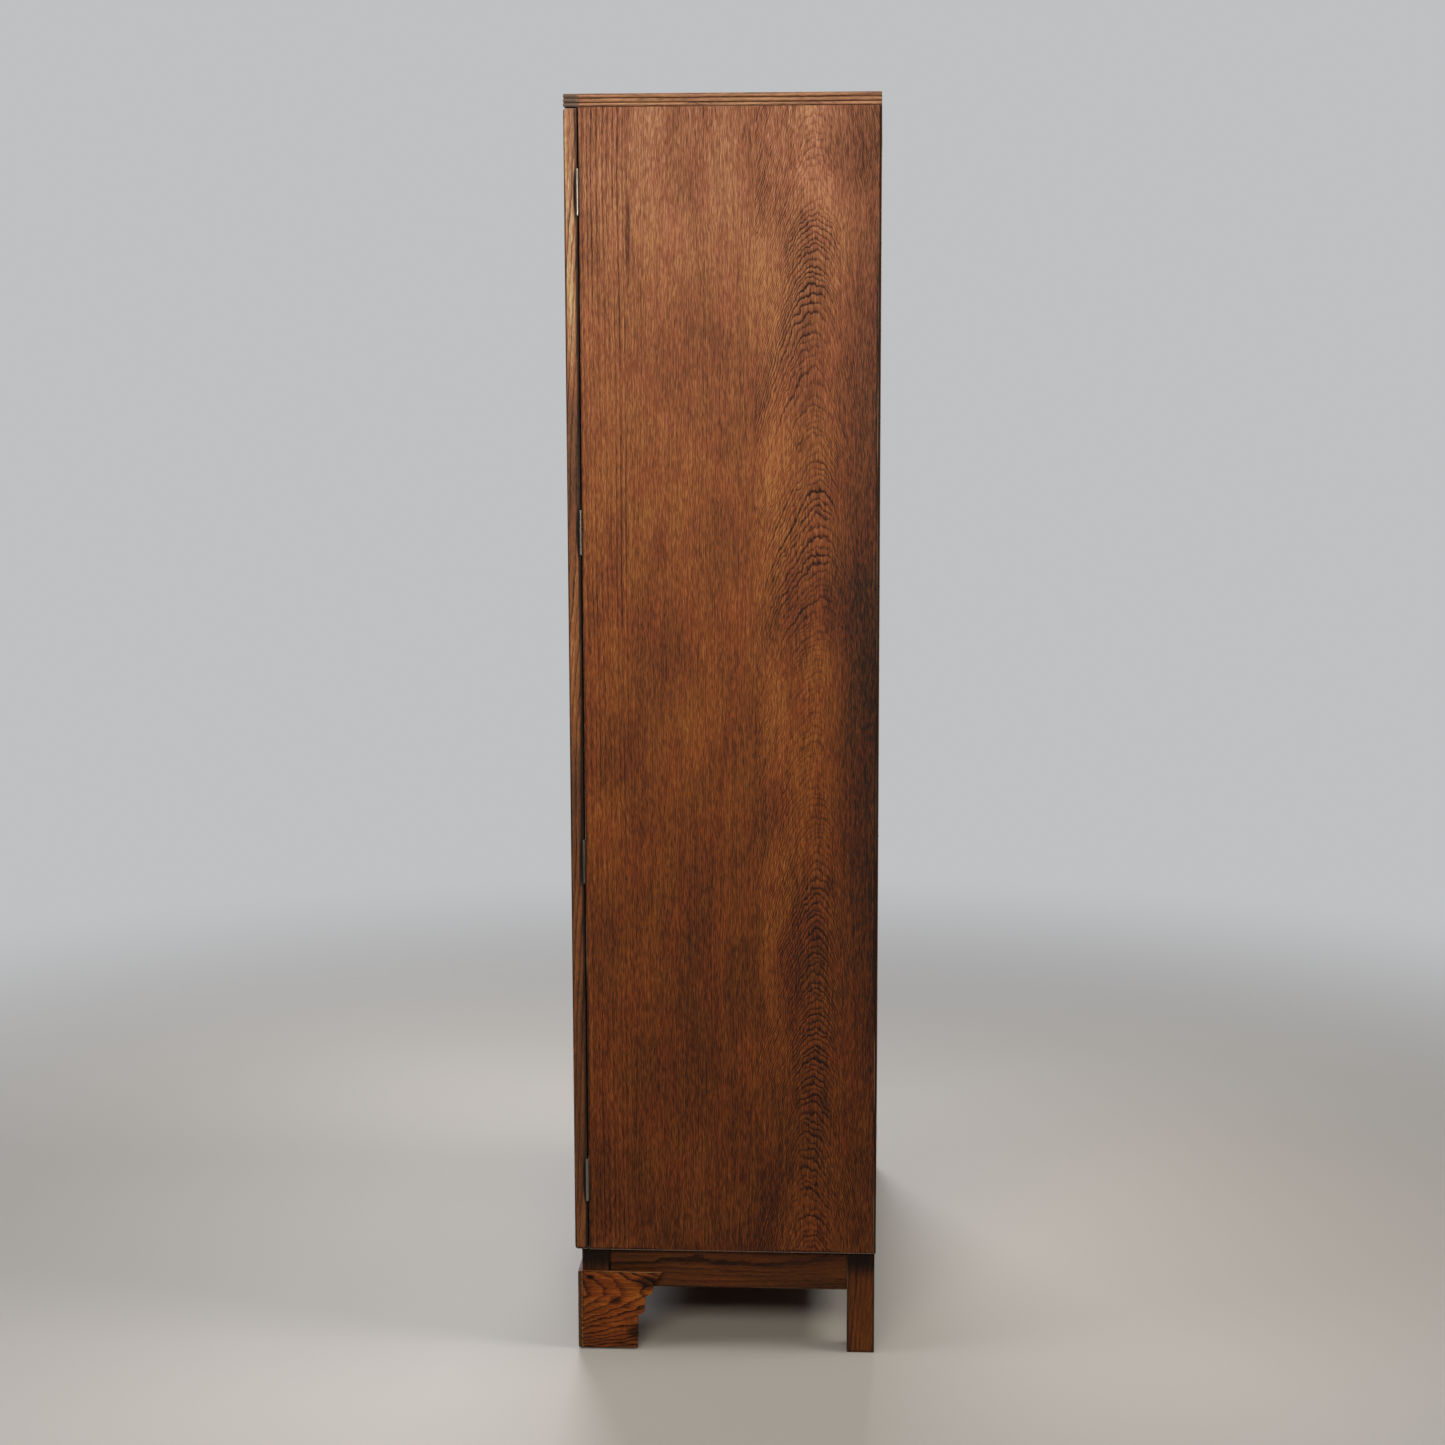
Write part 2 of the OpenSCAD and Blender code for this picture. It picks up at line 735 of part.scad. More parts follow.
module door_rail(z0, z1) {
    color(oak) {
        difference() {
            intersection() {
                door_blank();
                span([light_x0, -over, z0], [light_x1, door_t + over, z1]);
            }
            all_lights();
        }
        intersection() {
            frame_tenons(light_x0 - door_tenon_l, light_x1 + door_tenon_l);
            span([0, 0, z0], [half_w, door_t, z1]);
        }
    }
}

module glazing_bars() {
    color(oak) for (i = [1:shelf_count]) {
        z = bar_mid(i);
        difference() {
            span([light_x0, 0, z - bar_w / 2], [light_x1, door_t, z + bar_w / 2]);
            light_cut(i - 1);
            light_cut(i);
        }
        bar_tenons(i, light_x0 - bar_tenon_l, light_x1 + bar_tenon_l);
    }
}

module panes() {
    m = rebate_w - glass_clear;
    color(glass) for (i = [0:shelf_count])
        span([light_x0 - m, rebate_front, light_z(i) - m],
            [light_x1 + m, rebate_front + glass_t, light_z(i) + light_h + m]);
}

// One mitred bead along +X: its back against the wood at z = 0, its face against the glass at y = 0
module bead(length) {
    w = rebate_w;
    g = mitre_gap;
    intersection() {
        run_x(0, length) polygon([[0, 0], [bead_d, 0], [bead_d, bead_back_w], [bead_square, w], [0, w]]);
        run_y(0, bead_d) polygon([[g, 0], [length - g, 0], [length - w - g, w], [w + g, w]]);
    }
}

module beads() {
    w = light_w + 2 * rebate_w;
    h = light_h + 2 * rebate_w;
    color(oak_dark) for (i = [0:shelf_count])
        translate([light_x0 - rebate_w, rebate_front + glass_t, light_z(i) - rebate_w]) {
            bead(w);
            translate([0, 0, h]) mirror([0, 0, 1]) bead(w);
            translate([w, 0, 0]) rotate([0, -90, 0]) bead(h);
            mirror([1, 0, 0]) rotate([0, -90, 0]) bead(h);
        }
}

// ---- Hinges, right hand ----

// A leaf with its share of the knuckles, on the pin's axis; own = the first knuckle that it carries
module hinge_leaf(own, flip, bore_d) {
    y0 = leaf_gap / 2;
    difference() {
        union() {
            mirror([0, flip, 0]) {
                span([-leaf_w, y0, -hinge_l / 2], [-leaf_start, y0 + leaf_t, hinge_l / 2]);
                for (k = [own:2:knuckles - 1])
                    translate([0, 0, k * knuckle_l - hinge_l / 2])
                        span([-leaf_start - over, y0, knuckle_clear],
                            [0, y0 + leaf_t, knuckle_l - knuckle_clear]);
            }
            for (k = [own:2:knuckles - 1])
                translate([0, 0, k * knuckle_l - hinge_l / 2 + knuckle_clear])
                    cylinder(d = knuckle_d, h = knuckle_l - 2 * knuckle_clear);
        }
        translate([0, 0, -hinge_l]) cylinder(d = bore_d, h = 2 * hinge_l);
        for (k = [-1:1]) translate([-screw_from_axis, 0, k * screw_pitch])
            mirror([0, flip, 0]) translate([0, y0, 0]) rotate([-90, 0, 0])
                cylinder(d1 = screw_head_d, d2 = screw_d, h = leaf_t);
    }
}

module at_hinges() {
    for (i = [0:hinge_count - 1]) translate([axis_x, axis_y, hinge_z(i)]) children();
}

module case_hinge_leaves() {
    color(steel) at_hinges() hinge_leaf(0, 0, pin_d);
}

module door_hinge_leaves() {
    color(steel) at_hinges() hinge_leaf(1, 1, pin_d + 2 * pin_clear);
}

module hinge_pins() {
    color(steel) at_hinges() translate([0, 0, knuckle_clear - hinge_l / 2])
        cylinder(d = pin_d, h = hinge_l - 2 * knuckle_clear);
}

// ---- Lock, key and knobs, right-hand door ----

module lock_pocket() {
    span([door_x0 - over, lock_y0, lock_z - lock_h / 2],
        [door_x0 + lock_w, door_t + over, lock_z + lock_h / 2]);
}

// A round hole with a slot below it for the bit, from y0 to y1, slack all round
module keyhole(y0, y1, slack = 0) {
    gap = bit_clear + slack / 2;
    translate([key_x, y0, key_z]) rotate([-90, 0, 0]) cylinder(d = keyhole_d + slack, h = y1 - y0);
    span([key_x - bit_w / 2 - gap, y0, key_z - bit_reach - gap], [key_x + bit_w / 2 + gap, y1, key_z]);
}

module bolt_bar(x0, x1, slack = 0) {
    span([x0, bolt_y - bolt_t / 2 - slack, lock_z + bolt_up - bolt_h / 2 - slack],
        [x1, bolt_y + bolt_t / 2 + slack, lock_z + bolt_up + bolt_h / 2 + slack]);
}

module lock_case() {
    w = lock_wall;
    x0 = door_x0;
    x1 = door_x0 + lock_w;
    z0 = lock_z - lock_h / 2;
    z1 = lock_z + lock_h / 2;
    color(brass) {
        difference() {
            span([x0, lock_y0, z0], [x1, door_t, z1]);
            span([x0 + w, lock_y0 + w, z0 + w], [x1 - w, door_t - w, z1 - w]);
            bolt_bar(x0 - over, x0 + w + over, bolt_clear);
            keyhole(lock_y0 - over, lock_y0 + w + over);
        }
        translate([key_x, lock_y0, key_z]) rotate([-90, 0, 0])
            cylinder(d = drill_pin_d, h = lock_d - w + eps);
    }
}

// Bolt with a talon that clears the bit all round its turn; its head stops just inside the lock's face
module lock_bolt() {
    head_set_in = 0.2;
    talon_lap = 4;
    tail_x0 = door_x0 + lock_wall + bolt_throw + end_clear;
    tail_x1 = door_x0 + lock_w - lock_wall - 1.5 * end_clear;
    color(brass) {
        bolt_bar(door_x0 + head_set_in, tail_x1);
        difference() {
            span([tail_x0, bolt_y - bolt_t / 2, key_z + bit_reach - talon_lap],
                [tail_x1, bolt_y + bolt_t / 2, lock_z + bolt_up]);
            for (x = [key_x, key_x + bolt_throw])
                translate([x, bolt_y - bolt_t, key_z]) rotate([-90, 0, 0])
                    cylinder(r = talon_r, h = 2 * bolt_t);
            span([key_x, bolt_y - bolt_t, key_z], [key_x + bolt_throw, bolt_y + bolt_t, key_z + talon_r]);
        }
    }
}

// Pipe key, its bit down and its bow outside
module key() {
    pipe_end = door_t - lock_wall - 1.5 * end_clear;
    pipe_start = lock_y0 - 2;
    lap = 2;
    bit_set_in = 0.3;
    color(steel) translate([key_x, 0, key_z]) {
        difference() {
            union() {
                translate([0, -bow_out - lap, 0]) rotate([-90, 0, 0])
                    cylinder(d = shank_d, h = pipe_end + bow_out + lap);
                translate([0, -collar_out, 0]) rotate([-90, 0, 0]) cylinder(d = collar_d, h = collar_t);
                span([-bit_w / 2, bolt_y - bolt_t / 2 + bit_set_in, -bit_reach],
                    [bit_w / 2, bolt_y + bolt_t / 2 - bit_set_in, -shank_d / 2 + bit_set_in]);
            }
            translate([0, pipe_start, 0]) rotate([-90, 0, 0])
                cylinder(d = drill_pin_d + shank_clear, h = door_t);
        }
        translate([-bow_t / 2, -bow_out - bow_d / 2, 0]) rotate([0, 90, 0]) difference() {
            cylinder(d = bow_d, h = bow_t);
            translate([0, 0, -over]) cylinder(d = bow_d - 2 * bow_band, h = bow_t + 2 * over);
        }
    }
}

module escutcheon() {
    color(brass) difference() {
        union() {
            for (z = [key_z, key_z - plate_drop]) translate([key_x, -plate_t, z]) rotate([-90, 0, 0])
                cylinder(d = plate_w, h = plate_t);
            span([key_x - plate_w / 2, -plate_t, key_z - plate_drop], [key_x + plate_w / 2, 0, key_z]);
        }
        keyhole(-plate_t - over, over, plate_slack);
    }
}

// Turned knob: rose, waisted neck and flattened ball, on a spigot in the stile
module knob() {
    head_r = knob_d / 2;
    head_l = knob_out * 0.52;
    edge_r = 1.5;
    cove_r = 4;
    color(brass) translate([knob_x, 0, knob_z]) rotate([90, 0, 0]) rotate_extrude() polygon(concat(
        [[0, -spigot_l], [spigot_d / 2, -spigot_l], [spigot_d / 2, 0], [rose_d / 2, 0]],
        arc(rose_d / 2 - edge_r, rose_t - edge_r, edge_r, 0, 90, 4),
        arc(neck_d / 2 + cove_r, rose_t + cove_r, cove_r, 270, 180, 5),
        [for (a = [-60:12:90]) [head_r * cos(a), knob_out - head_l / 2 * (1 - sin(a))]]));
}

// ---- Strike plate and barrel bolts, on the left-hand door; drawn right-handed and mirrored ----

module strike_recess() {
    z = lock_z + bolt_up;
    half_t = bolt_t / 2 + mortise_clear;
    half_h = bolt_h / 2 + mortise_clear;
    span([door_x0 - over, bolt_y - strike_w / 2, z - strike_h / 2],
        [door_x0 + strike_t, bolt_y + strike_w / 2, z + strike_h / 2]);
    span([door_x0, bolt_y - half_t, z - half_h], [door_x0 + mortise_depth, bolt_y + half_t, z + half_h]);
}

module strike_plate() {
    z = lock_z + bolt_up;
    half_t = bolt_t / 2 + strike_clear;
    half_h = bolt_h / 2 + strike_clear;
    color(brass) difference() {
        span([door_x0, bolt_y - strike_w / 2, z - strike_h / 2],
            [door_x0 + strike_t, bolt_y + strike_w / 2, z + strike_h / 2]);
        span([door_x0 - over, bolt_y - half_t, z - half_h],
            [door_x0 + strike_t + over, bolt_y + half_t, z + half_h]);
        for (s = [-1, 1]) translate([door_x0 - eps, bolt_y, z + s * strike_screw]) rotate([0, 90, 0])
            cylinder(d1 = small_head_d, d2 = small_screw_d, h = strike_t + 2 * eps);
    }
}

// Base plate with two eyes; drawn with the rod along +Z and the plate's far end at z = 0
module bolt_guide() {
    eye_l = 9;
    eye_d = rod_d + 4;
    eye_end = 2;
    screw_end = guide_l * 0.3;
    color(brass) difference() {
        union() {
            span([-guide_w / 2, 0, -guide_l], [guide_w / 2, guide_t, 0]);
            for (z = [-eye_l - eye_end, eye_end - guide_l]) {
                span([-eye_d / 2, 0, z], [eye_d / 2, rod_out, z + eye_l]);
                translate([0, rod_out, z]) cylinder(d = eye_d, h = eye_l);
            }
        }
        translate([0, rod_out, -guide_l - over])
            cylinder(r = rod_d / 2 + rod_clear, h = guide_l + 2 * over);
        for (s = [-1, 1]) for (z = [-screw_end, screw_end - guide_l])
            translate([s * (guide_w / 2 - guide_screw_in), -eps, z]) rotate([-90, 0, 0])
                cylinder(d1 = small_screw_d, d2 = small_head_d, h = guide_t + 2 * eps);
    }
}

module bolt_rod() {
    tip_z = guide_end - rod_gap;
    tip_l = 1;
    tip_d = rod_d - 1.5;
    grip_z = -guide_l / 2 - rod_travel / 2;
    stem_l = rod_d + 1;
    grip_d = rod_d + 1.5;
    grip_l = 4;
    color(steel) translate([0, rod_out, 0]) {
        translate([0, 0, rod_start - guide_l]) cylinder(d = rod_d, h = guide_l - rod_start + tip_z - tip_l);
        translate([0, 0, tip_z - tip_l]) cylinder(d1 = rod_d, d2 = tip_d, h = tip_l);
        translate([0, 0, grip_z]) rotate([-90, 0, 0]) {
            cylinder(d = rod_d - 1, h = stem_l);
            translate([0, 0, stem_l]) cylinder(d = grip_d, h = grip_l);
        }
    }
}

// Barrel bolt places: the top one under the top board, the bottom one upside down over the bottom panel
module at_top_bolt() {
    translate([knob_x, door_t, under_top - guide_end]) children();
}

module at_bottom_bolt() {
    translate([knob_x, door_t, floor_z + guide_end]) mirror([0, 0, 1]) children();
}

// ---- The named pieces ----

module pair_of(name, hand_name) {
    place(hand_name == "right" ? 1 : -1) {
        if (name == "hinge_stile") hinge_stile();
        if (name == "meeting_stile" && hand_name == "right") right_meeting_stile();
        if (name == "meeting_stile" && hand_name == "left") left_meeting_stile();
        if (name == "top_rail") door_rail(door_z1 - door_top_rail, door_z1);
        if (name == "bottom_rail") door_rail(door_z0, door_z0 + door_bottom_rail);
        if (name == "glazing_bars") glazing_bars();
        if (name == "panes") panes();
        if (name == "beads") beads();
        if (name == "case_hinge_leaves") case_hinge_leaves();
        if (name == "door_hinge_leaves") door_hinge_leaves();
        if (name == "hinge_pins") hinge_pins();
        if (name == "knob") knob();
    }
}

place() side_panel();  // side_right
place(-1) side_panel();  // side_left
place() top_board();
place() top_lipping_front();
place() top_lipping_side();  // top_lipping_right
place(-1) top_lipping_side();  // top_lipping_left
place() bottom_panel();
place() back_panel();
for (i = [1:shelf_count]) place() shelf(i);
shelf_studs();
place() leg_front();  // leg_front_right
place(-1) leg_front();  // leg_front_left
place() leg_rear();  // leg_rear_right
place(-1) leg_rear();  // leg_rear_left
place() rail_cross(rail_y0 + rail_t / 2);  // rail_front
place() rail_cross(rail_y1 - rail_t / 2);  // rail_rear
place() rail_side();  // rail_right
place(-1) rail_side();  // rail_left
corner_blocks();
place() bracket_side();  // bracket_side_right
place(-1) bracket_side();  // bracket_side_left
place() bracket_front();  // bracket_front_right
place(-1) bracket_front();  // bracket_front_left
for (h = hands) for (p = ["case_hinge_leaves", "hinge_pins", "door_hinge_leaves", "knob"])
    pair_of(p, h[0]);
for (h = hands) for (p = door_parts)
    pair_of(p, h[0]);
place() escutcheon();
place() lock_case();
place() lock_bolt();
place() key();
place(-1) strike_plate();
place(-1) at_top_bolt() bolt_guide();  // top_bolt_guide
place(-1) at_top_bolt() bolt_rod();  // top_bolt_rod
place(-1) at_bottom_bolt() bolt_guide();  // bottom_bolt_guide
place(-1) at_bottom_bolt() bolt_rod();  // bottom_bolt_rod
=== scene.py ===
"""Dresses the oak bookcase: stained veneer and solid oak, brass, steel, glass, screws and pins.

The frame gives every piece at its real size and place. This script eases the arrises, adds the small
fasteners, gives each piece its own finish, and sets the floor, the lights and the camera.
"""
import json
import logging
import math
import random
from dataclasses import dataclass, replace
from enum import Enum
from typing import Any, Mapping, Sequence

import bmesh
import bpy
from mathutils import Matrix, Vector

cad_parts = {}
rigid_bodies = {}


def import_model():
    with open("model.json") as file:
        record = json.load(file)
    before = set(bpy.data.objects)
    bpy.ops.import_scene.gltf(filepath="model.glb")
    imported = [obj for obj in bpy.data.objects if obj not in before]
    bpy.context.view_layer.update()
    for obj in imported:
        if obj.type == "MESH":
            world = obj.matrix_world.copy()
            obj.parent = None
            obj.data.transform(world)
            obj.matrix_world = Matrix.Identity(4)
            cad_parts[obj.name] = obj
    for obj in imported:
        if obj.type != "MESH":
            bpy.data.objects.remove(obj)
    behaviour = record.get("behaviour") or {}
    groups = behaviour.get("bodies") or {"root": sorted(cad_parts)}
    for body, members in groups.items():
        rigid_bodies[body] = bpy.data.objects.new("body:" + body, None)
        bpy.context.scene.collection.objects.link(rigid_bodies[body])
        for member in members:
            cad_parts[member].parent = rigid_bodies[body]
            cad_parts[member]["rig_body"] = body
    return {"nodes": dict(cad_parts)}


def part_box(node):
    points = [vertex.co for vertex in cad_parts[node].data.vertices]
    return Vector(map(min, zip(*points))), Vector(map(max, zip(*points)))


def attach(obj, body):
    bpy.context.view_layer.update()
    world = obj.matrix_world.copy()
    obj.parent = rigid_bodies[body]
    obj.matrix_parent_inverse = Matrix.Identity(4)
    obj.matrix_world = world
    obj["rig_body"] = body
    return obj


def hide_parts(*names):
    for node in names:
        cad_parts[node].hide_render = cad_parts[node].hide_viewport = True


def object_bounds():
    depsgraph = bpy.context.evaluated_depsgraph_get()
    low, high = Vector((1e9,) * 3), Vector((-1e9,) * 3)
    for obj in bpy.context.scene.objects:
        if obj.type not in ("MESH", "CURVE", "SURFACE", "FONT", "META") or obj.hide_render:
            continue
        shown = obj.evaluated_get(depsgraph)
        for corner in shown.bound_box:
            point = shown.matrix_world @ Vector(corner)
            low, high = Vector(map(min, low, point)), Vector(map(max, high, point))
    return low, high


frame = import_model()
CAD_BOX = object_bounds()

LOG = logging.getLogger("bookcase")
MM = 0.001
HANDS = ("right", "left")
FULL_HEIGHT = CAD_BOX[1][2] / MM
# Points closer than TOUCHING are one point. An edge that turns less than FLAT is none, and one that turns
# more than SHARP is an arris.
TOUCHING = 0.001 * MM
FLAT = math.radians(0.3)
SHARP = math.radians(40)
# A noise texture's middle value, and the hue setting that changes nothing.
NOISE_MEAN = 0.5
SAME_HUE = 0.5
# Lets a map range ease in and out; left alone, it ends at 0 and 1.
SMOOTH = {"interpolation_type": "SMOOTHSTEP"}

Socket = bpy.types.NodeSocket
Colour = tuple[float, float, float, float]
Point = tuple[float, float, float]
Outline = list[tuple[float, float]]


# ---- Colours and nodes ----


def linear(hex_colour: str) -> Colour:
    """Turns an sRGB hex colour into the linear colour that shaders use.

    Args:
        hex_colour: Six hex digits after a hash sign.

    Returns:
        Red, green, blue and an alpha of 1.
    """
    parts = [int(hex_colour[i:i + 2], 16) / 255 for i in (1, 3, 5)]
    red, green, blue = (c / 12.92 if c <= 0.04045 else ((c + 0.055) / 1.055) ** 2.4 for c in parts)
    return (red, green, blue, 1.0)


def grey(value: float) -> Colour:
    """Gives the colour whose three channels all hold one value."""
    return (value, value, value, 1.0)


def add_node(tree: bpy.types.NodeTree, kind: str, inputs: Mapping | Sequence = (), out: int | str = 0,
             stops: Sequence[tuple[float, Colour]] = (), **settings: Any) -> Socket | None:
    """Adds one node with its settings and links.

    Args:
        tree: Node tree that gets the node.
        kind: Type of the node, without "ShaderNode".
        inputs: Values or sockets for its inputs, in order or by name or number.
        out: Name or number of the output that is wanted.
        stops: Position and colour of each stop, if the node is a colour ramp.
        **settings: The node's own properties.

    Returns:
        The wanted output, or None on a node without outputs.
    """
    node = tree.nodes.new("ShaderNode" + kind)
    for name, value in settings.items():
        setattr(node, name, value)
    given = inputs if isinstance(inputs, Mapping) else dict(enumerate(inputs))
    for key, value in given.items():
        if isinstance(value, Socket):
            tree.links.new(value, node.inputs[key])
        else:
            node.inputs[key].default_value = value
    for number, (place, colour) in enumerate(stops):
        elements = node.color_ramp.elements
        if number == 0:
            elements.remove(elements[1])
            elements[0].position = place
        stop = elements[0] if number == 0 else elements.new(place)
        stop.color = colour
    return node.outputs[out] if node.outputs else None


def new_material(name: str) -> bpy.types.Material:
    """Makes a node material with nothing in it.

    Args:
        name: Name of the material.

    Returns:
        The empty material.
    """
    material = bpy.data.materials.new(name)
    material.use_nodes = True
    material.node_tree.nodes.clear()
    return material


def wear_material(obj: bpy.types.Object, material: bpy.types.Material) -> None:
    """Makes one material the only one that an object wears."""
    obj.data.materials.clear()
    obj.data.materials.append(material)


# ---- Wood ----


class Grain(Enum):
    """The frame's axis that a piece's grain runs along, with the order across, across, along."""

    X = (1, 2, 0)
    Y = (0, 2, 1)
    Z = (0, 1, 2)


@dataclass(frozen=True)
class Tones:
    """A stained wood's colours: palest fibres to stain-filled pores, rubbed bare with a painted highlight, and on its
    end grain.
    """

    pale: str
    mid: str
    dark: str
    pore: str
    # Arrises rubbed bare; the same paler, greyer colour also paints a highlight along them.
    worn: str = "#ab9784"
    end: str = "#62564d"


@dataclass(frozen=True)
class Pattern:
    """A soft random pattern: its size across, across and along the grain, in millimetres.

    The shift keeps it from coinciding with the others, and detail is how many finer layers lie on it.
    """

    size: Point
    shift: float
    detail: float


@dataclass(frozen=True)
class Stain:
    """A soft-edged patch: middle and half-sizes in millimetres in the frame, and how much darker it is.

    Under nought, its strength makes it paler. Where it calms the figure, it is the share taken away.
    """

    middle: Point
    half: Point
    strength: float


@dataclass(frozen=True)
class Leaf:
    """One leaf of veneer, as it was cut from the log.

    Pith is the Y of the log's middle, depth how far it lies behind the face, tone a step on the scale from
    pale to pore, and start the Y of the joint with the leaf before, which the front leaf lacks. Lengths
    are in millimetres.
    """

    pith: float
    depth: float
    ring: float
    taper: float
    figure: float
    tone: float
    drift: float
    wave: float
    start: float = -math.inf


@dataclass(frozen=True)
class StainedWood:
    """Oak: sawn and planed solid wood, spirit-stained and wax-polished.

    The eye sees growth rings cut along or across, short dark pores filled with stain, long soft fibre streaks, cloudy
    stain, darker arrises, and paler ones where hands wore it off, which also carry a painted highlight. On pieces
    with a fade, painted light makes the wood darker towards the foot and paler towards the top.
    Lengths are in millimetres, and the features' weights are steps on the scale from pale to pore.
    """

    name: str
    tones: Tones
    grain: Grain
    pith: tuple[float, float] = (40.0, 26.0)
    ring: float = 3.4
    taper: float = 0.02
    drift: float = 9.0
    wave: float = 1.4
    figure: float = 0.30
    patchy: float = 0.5
    base: float = 0.30
    pores: float = 0.30
    speckle: float = 0.16
    fibre: float = 0.30
    cloud: float = 0.34
    dark_edge: float = 0.30
    dark_edge_mm: float = 3.0
    end_grain: float = 0.85
    # Pale rubbed arrises that also paint a highlight: how strong, and how wide in millimetres.
    wear_and_highlight: float = 0.35
    wear_and_highlight_mm: float = 1.2
    roughness: float = 0.2
    dulling: float = 0.4
    gloss: float = 0.15
    seed: float = 0.0
    stains: tuple[Stain, ...] = ()
    calm: tuple[Stain, ...] = ()
    leaves: tuple[Leaf, ...] = ()
    # Painted light: steps darker at the foot and paler at the top, as light falls stronger high up.
    fade: float = 0.0
    blush: float = 0.004

    # Real pores are about 0.3 wide, and the flecks between them about as narrow. Both are drawn two to four times as
    # wide, so that they show. The other patterns are sized one by one.
    PORE = Pattern((0.7, 0.7, 8.0), 21.0, 1.0)
    FLECK = Pattern((1.1, 1.1, 12.0), 33.0, 2.0)
    STREAK = Pattern((2.6, 2.6, 90.0), 47.0, 3.0)
    CLOUD = Pattern((75.0, 75.0, 190.0), 59.0, 5.0)
    PATCH = Pattern((70.0, 70.0, 190.0), 71.0, 1.0)
    BLUSH = Pattern((30.0, 30.0, 80.0), 83.0, 3.0)
    DRIFT = Pattern((130.0, 130.0, 420.0), 3.1, 1.0)
    WAVE = Pattern((11.0, 11.0, 26.0), 8.7, 4.0)
    # Where each pattern's noise starts to show, and where it shows in full.
    PORE_SHOWS = (0.56, 0.66)
    FLECK_SHOWS = (0.3, 0.7)
    PATCH_SHOWS = (0.36, 0.6)
    BLUSH_SHOWS = (0.3, 0.7)
    # How far one piece's pith lies from the usual place, sideways and in depth, in shares of it; and seeds.
    PITH_ASIDE = (0.7, 1.4)
    PITH_DEEP = (0.6, 1.5)
    SEEDS = (1.0, 90.0)
    # Good and bad years come in runs of this many millimetres, and shift the rings by this share of a run.
    YEARS = 11.0
    WEATHER = 0.4
    # How dark a ring is from its open early wood, which drinks the stain, out to its dense late wood; how
    # strong the faintest ring is; and where pores crowd, with the share that the late wood keeps.
    RING = ((0.0, 0.2), (0.05, 1.0), (0.18, 0.8), (0.4, 0.22), (0.9, 0.0), (1.0, 0.2))
    FAINTEST_RING = 0.45
    PORES_CROWD = (0.1, 0.7)
    LATE_PORES = 0.4
    # A patch's edge: how far the clouds tear it, and where it ends and is full, in shares of its half-size.
    TORN = 0.9
    STAIN_FADES = (1.75, 0.75)
    # How far the clouds move a dark arris's inner border, and the fibres a rubbed and highlighted one's, and where
    # that one starts; how deep end grain shows, from its faint end to its full one.
    DARK_WANDER = 12.0
    WEAR_AND_HIGHLIGHT_WANDER = 5.0
    WEAR_AND_HIGHLIGHT_START = 2.1
    END_DEPTH = (1.2, 0.3)
    # Where pale, mid, dark and pore stand on the scale.
    LEVELS = (0.0, 0.34, 0.68, 1.0)
    # How much clouds dull the wax, how deep pores and rings sink next to the fibres, and the relief.
    CLOUD_DULLS = 0.12
    PORE_SINKS = 0.7
    RING_SINKS = 0.25
    RELIEF = 0.35
    RELIEF_MM = 0.25
    IOR = 1.5

    def for_piece(self, piece: str, **changes: Any) -> "StainedWood":
        """Gives this finish its own cut of the log for one piece.

        Args:
            piece: Name of the piece, which sets the cut.
            **changes: Fields that differ on this piece.

        Returns:
            The finish for that piece.
        """
        draw = random.Random(piece)
        side = draw.choice((-1, 1))
        aside, deep = draw.uniform(*self.PITH_ASIDE), draw.uniform(*self.PITH_DEEP)
        pith = (side * self.pith[0] * aside, self.pith[1] * deep)
        cut = {"name": f"{self.name} {piece}", "pith": pith, "seed": draw.uniform(*self.SEEDS)}
        return replace(self, **{**cut, **changes})

    def build(self, lo: Vector, hi: Vector) -> bpy.types.Material:
        """Makes the material of a piece that fills the box from lo to hi."""
        return WoodGraph(self, lo, hi).material()


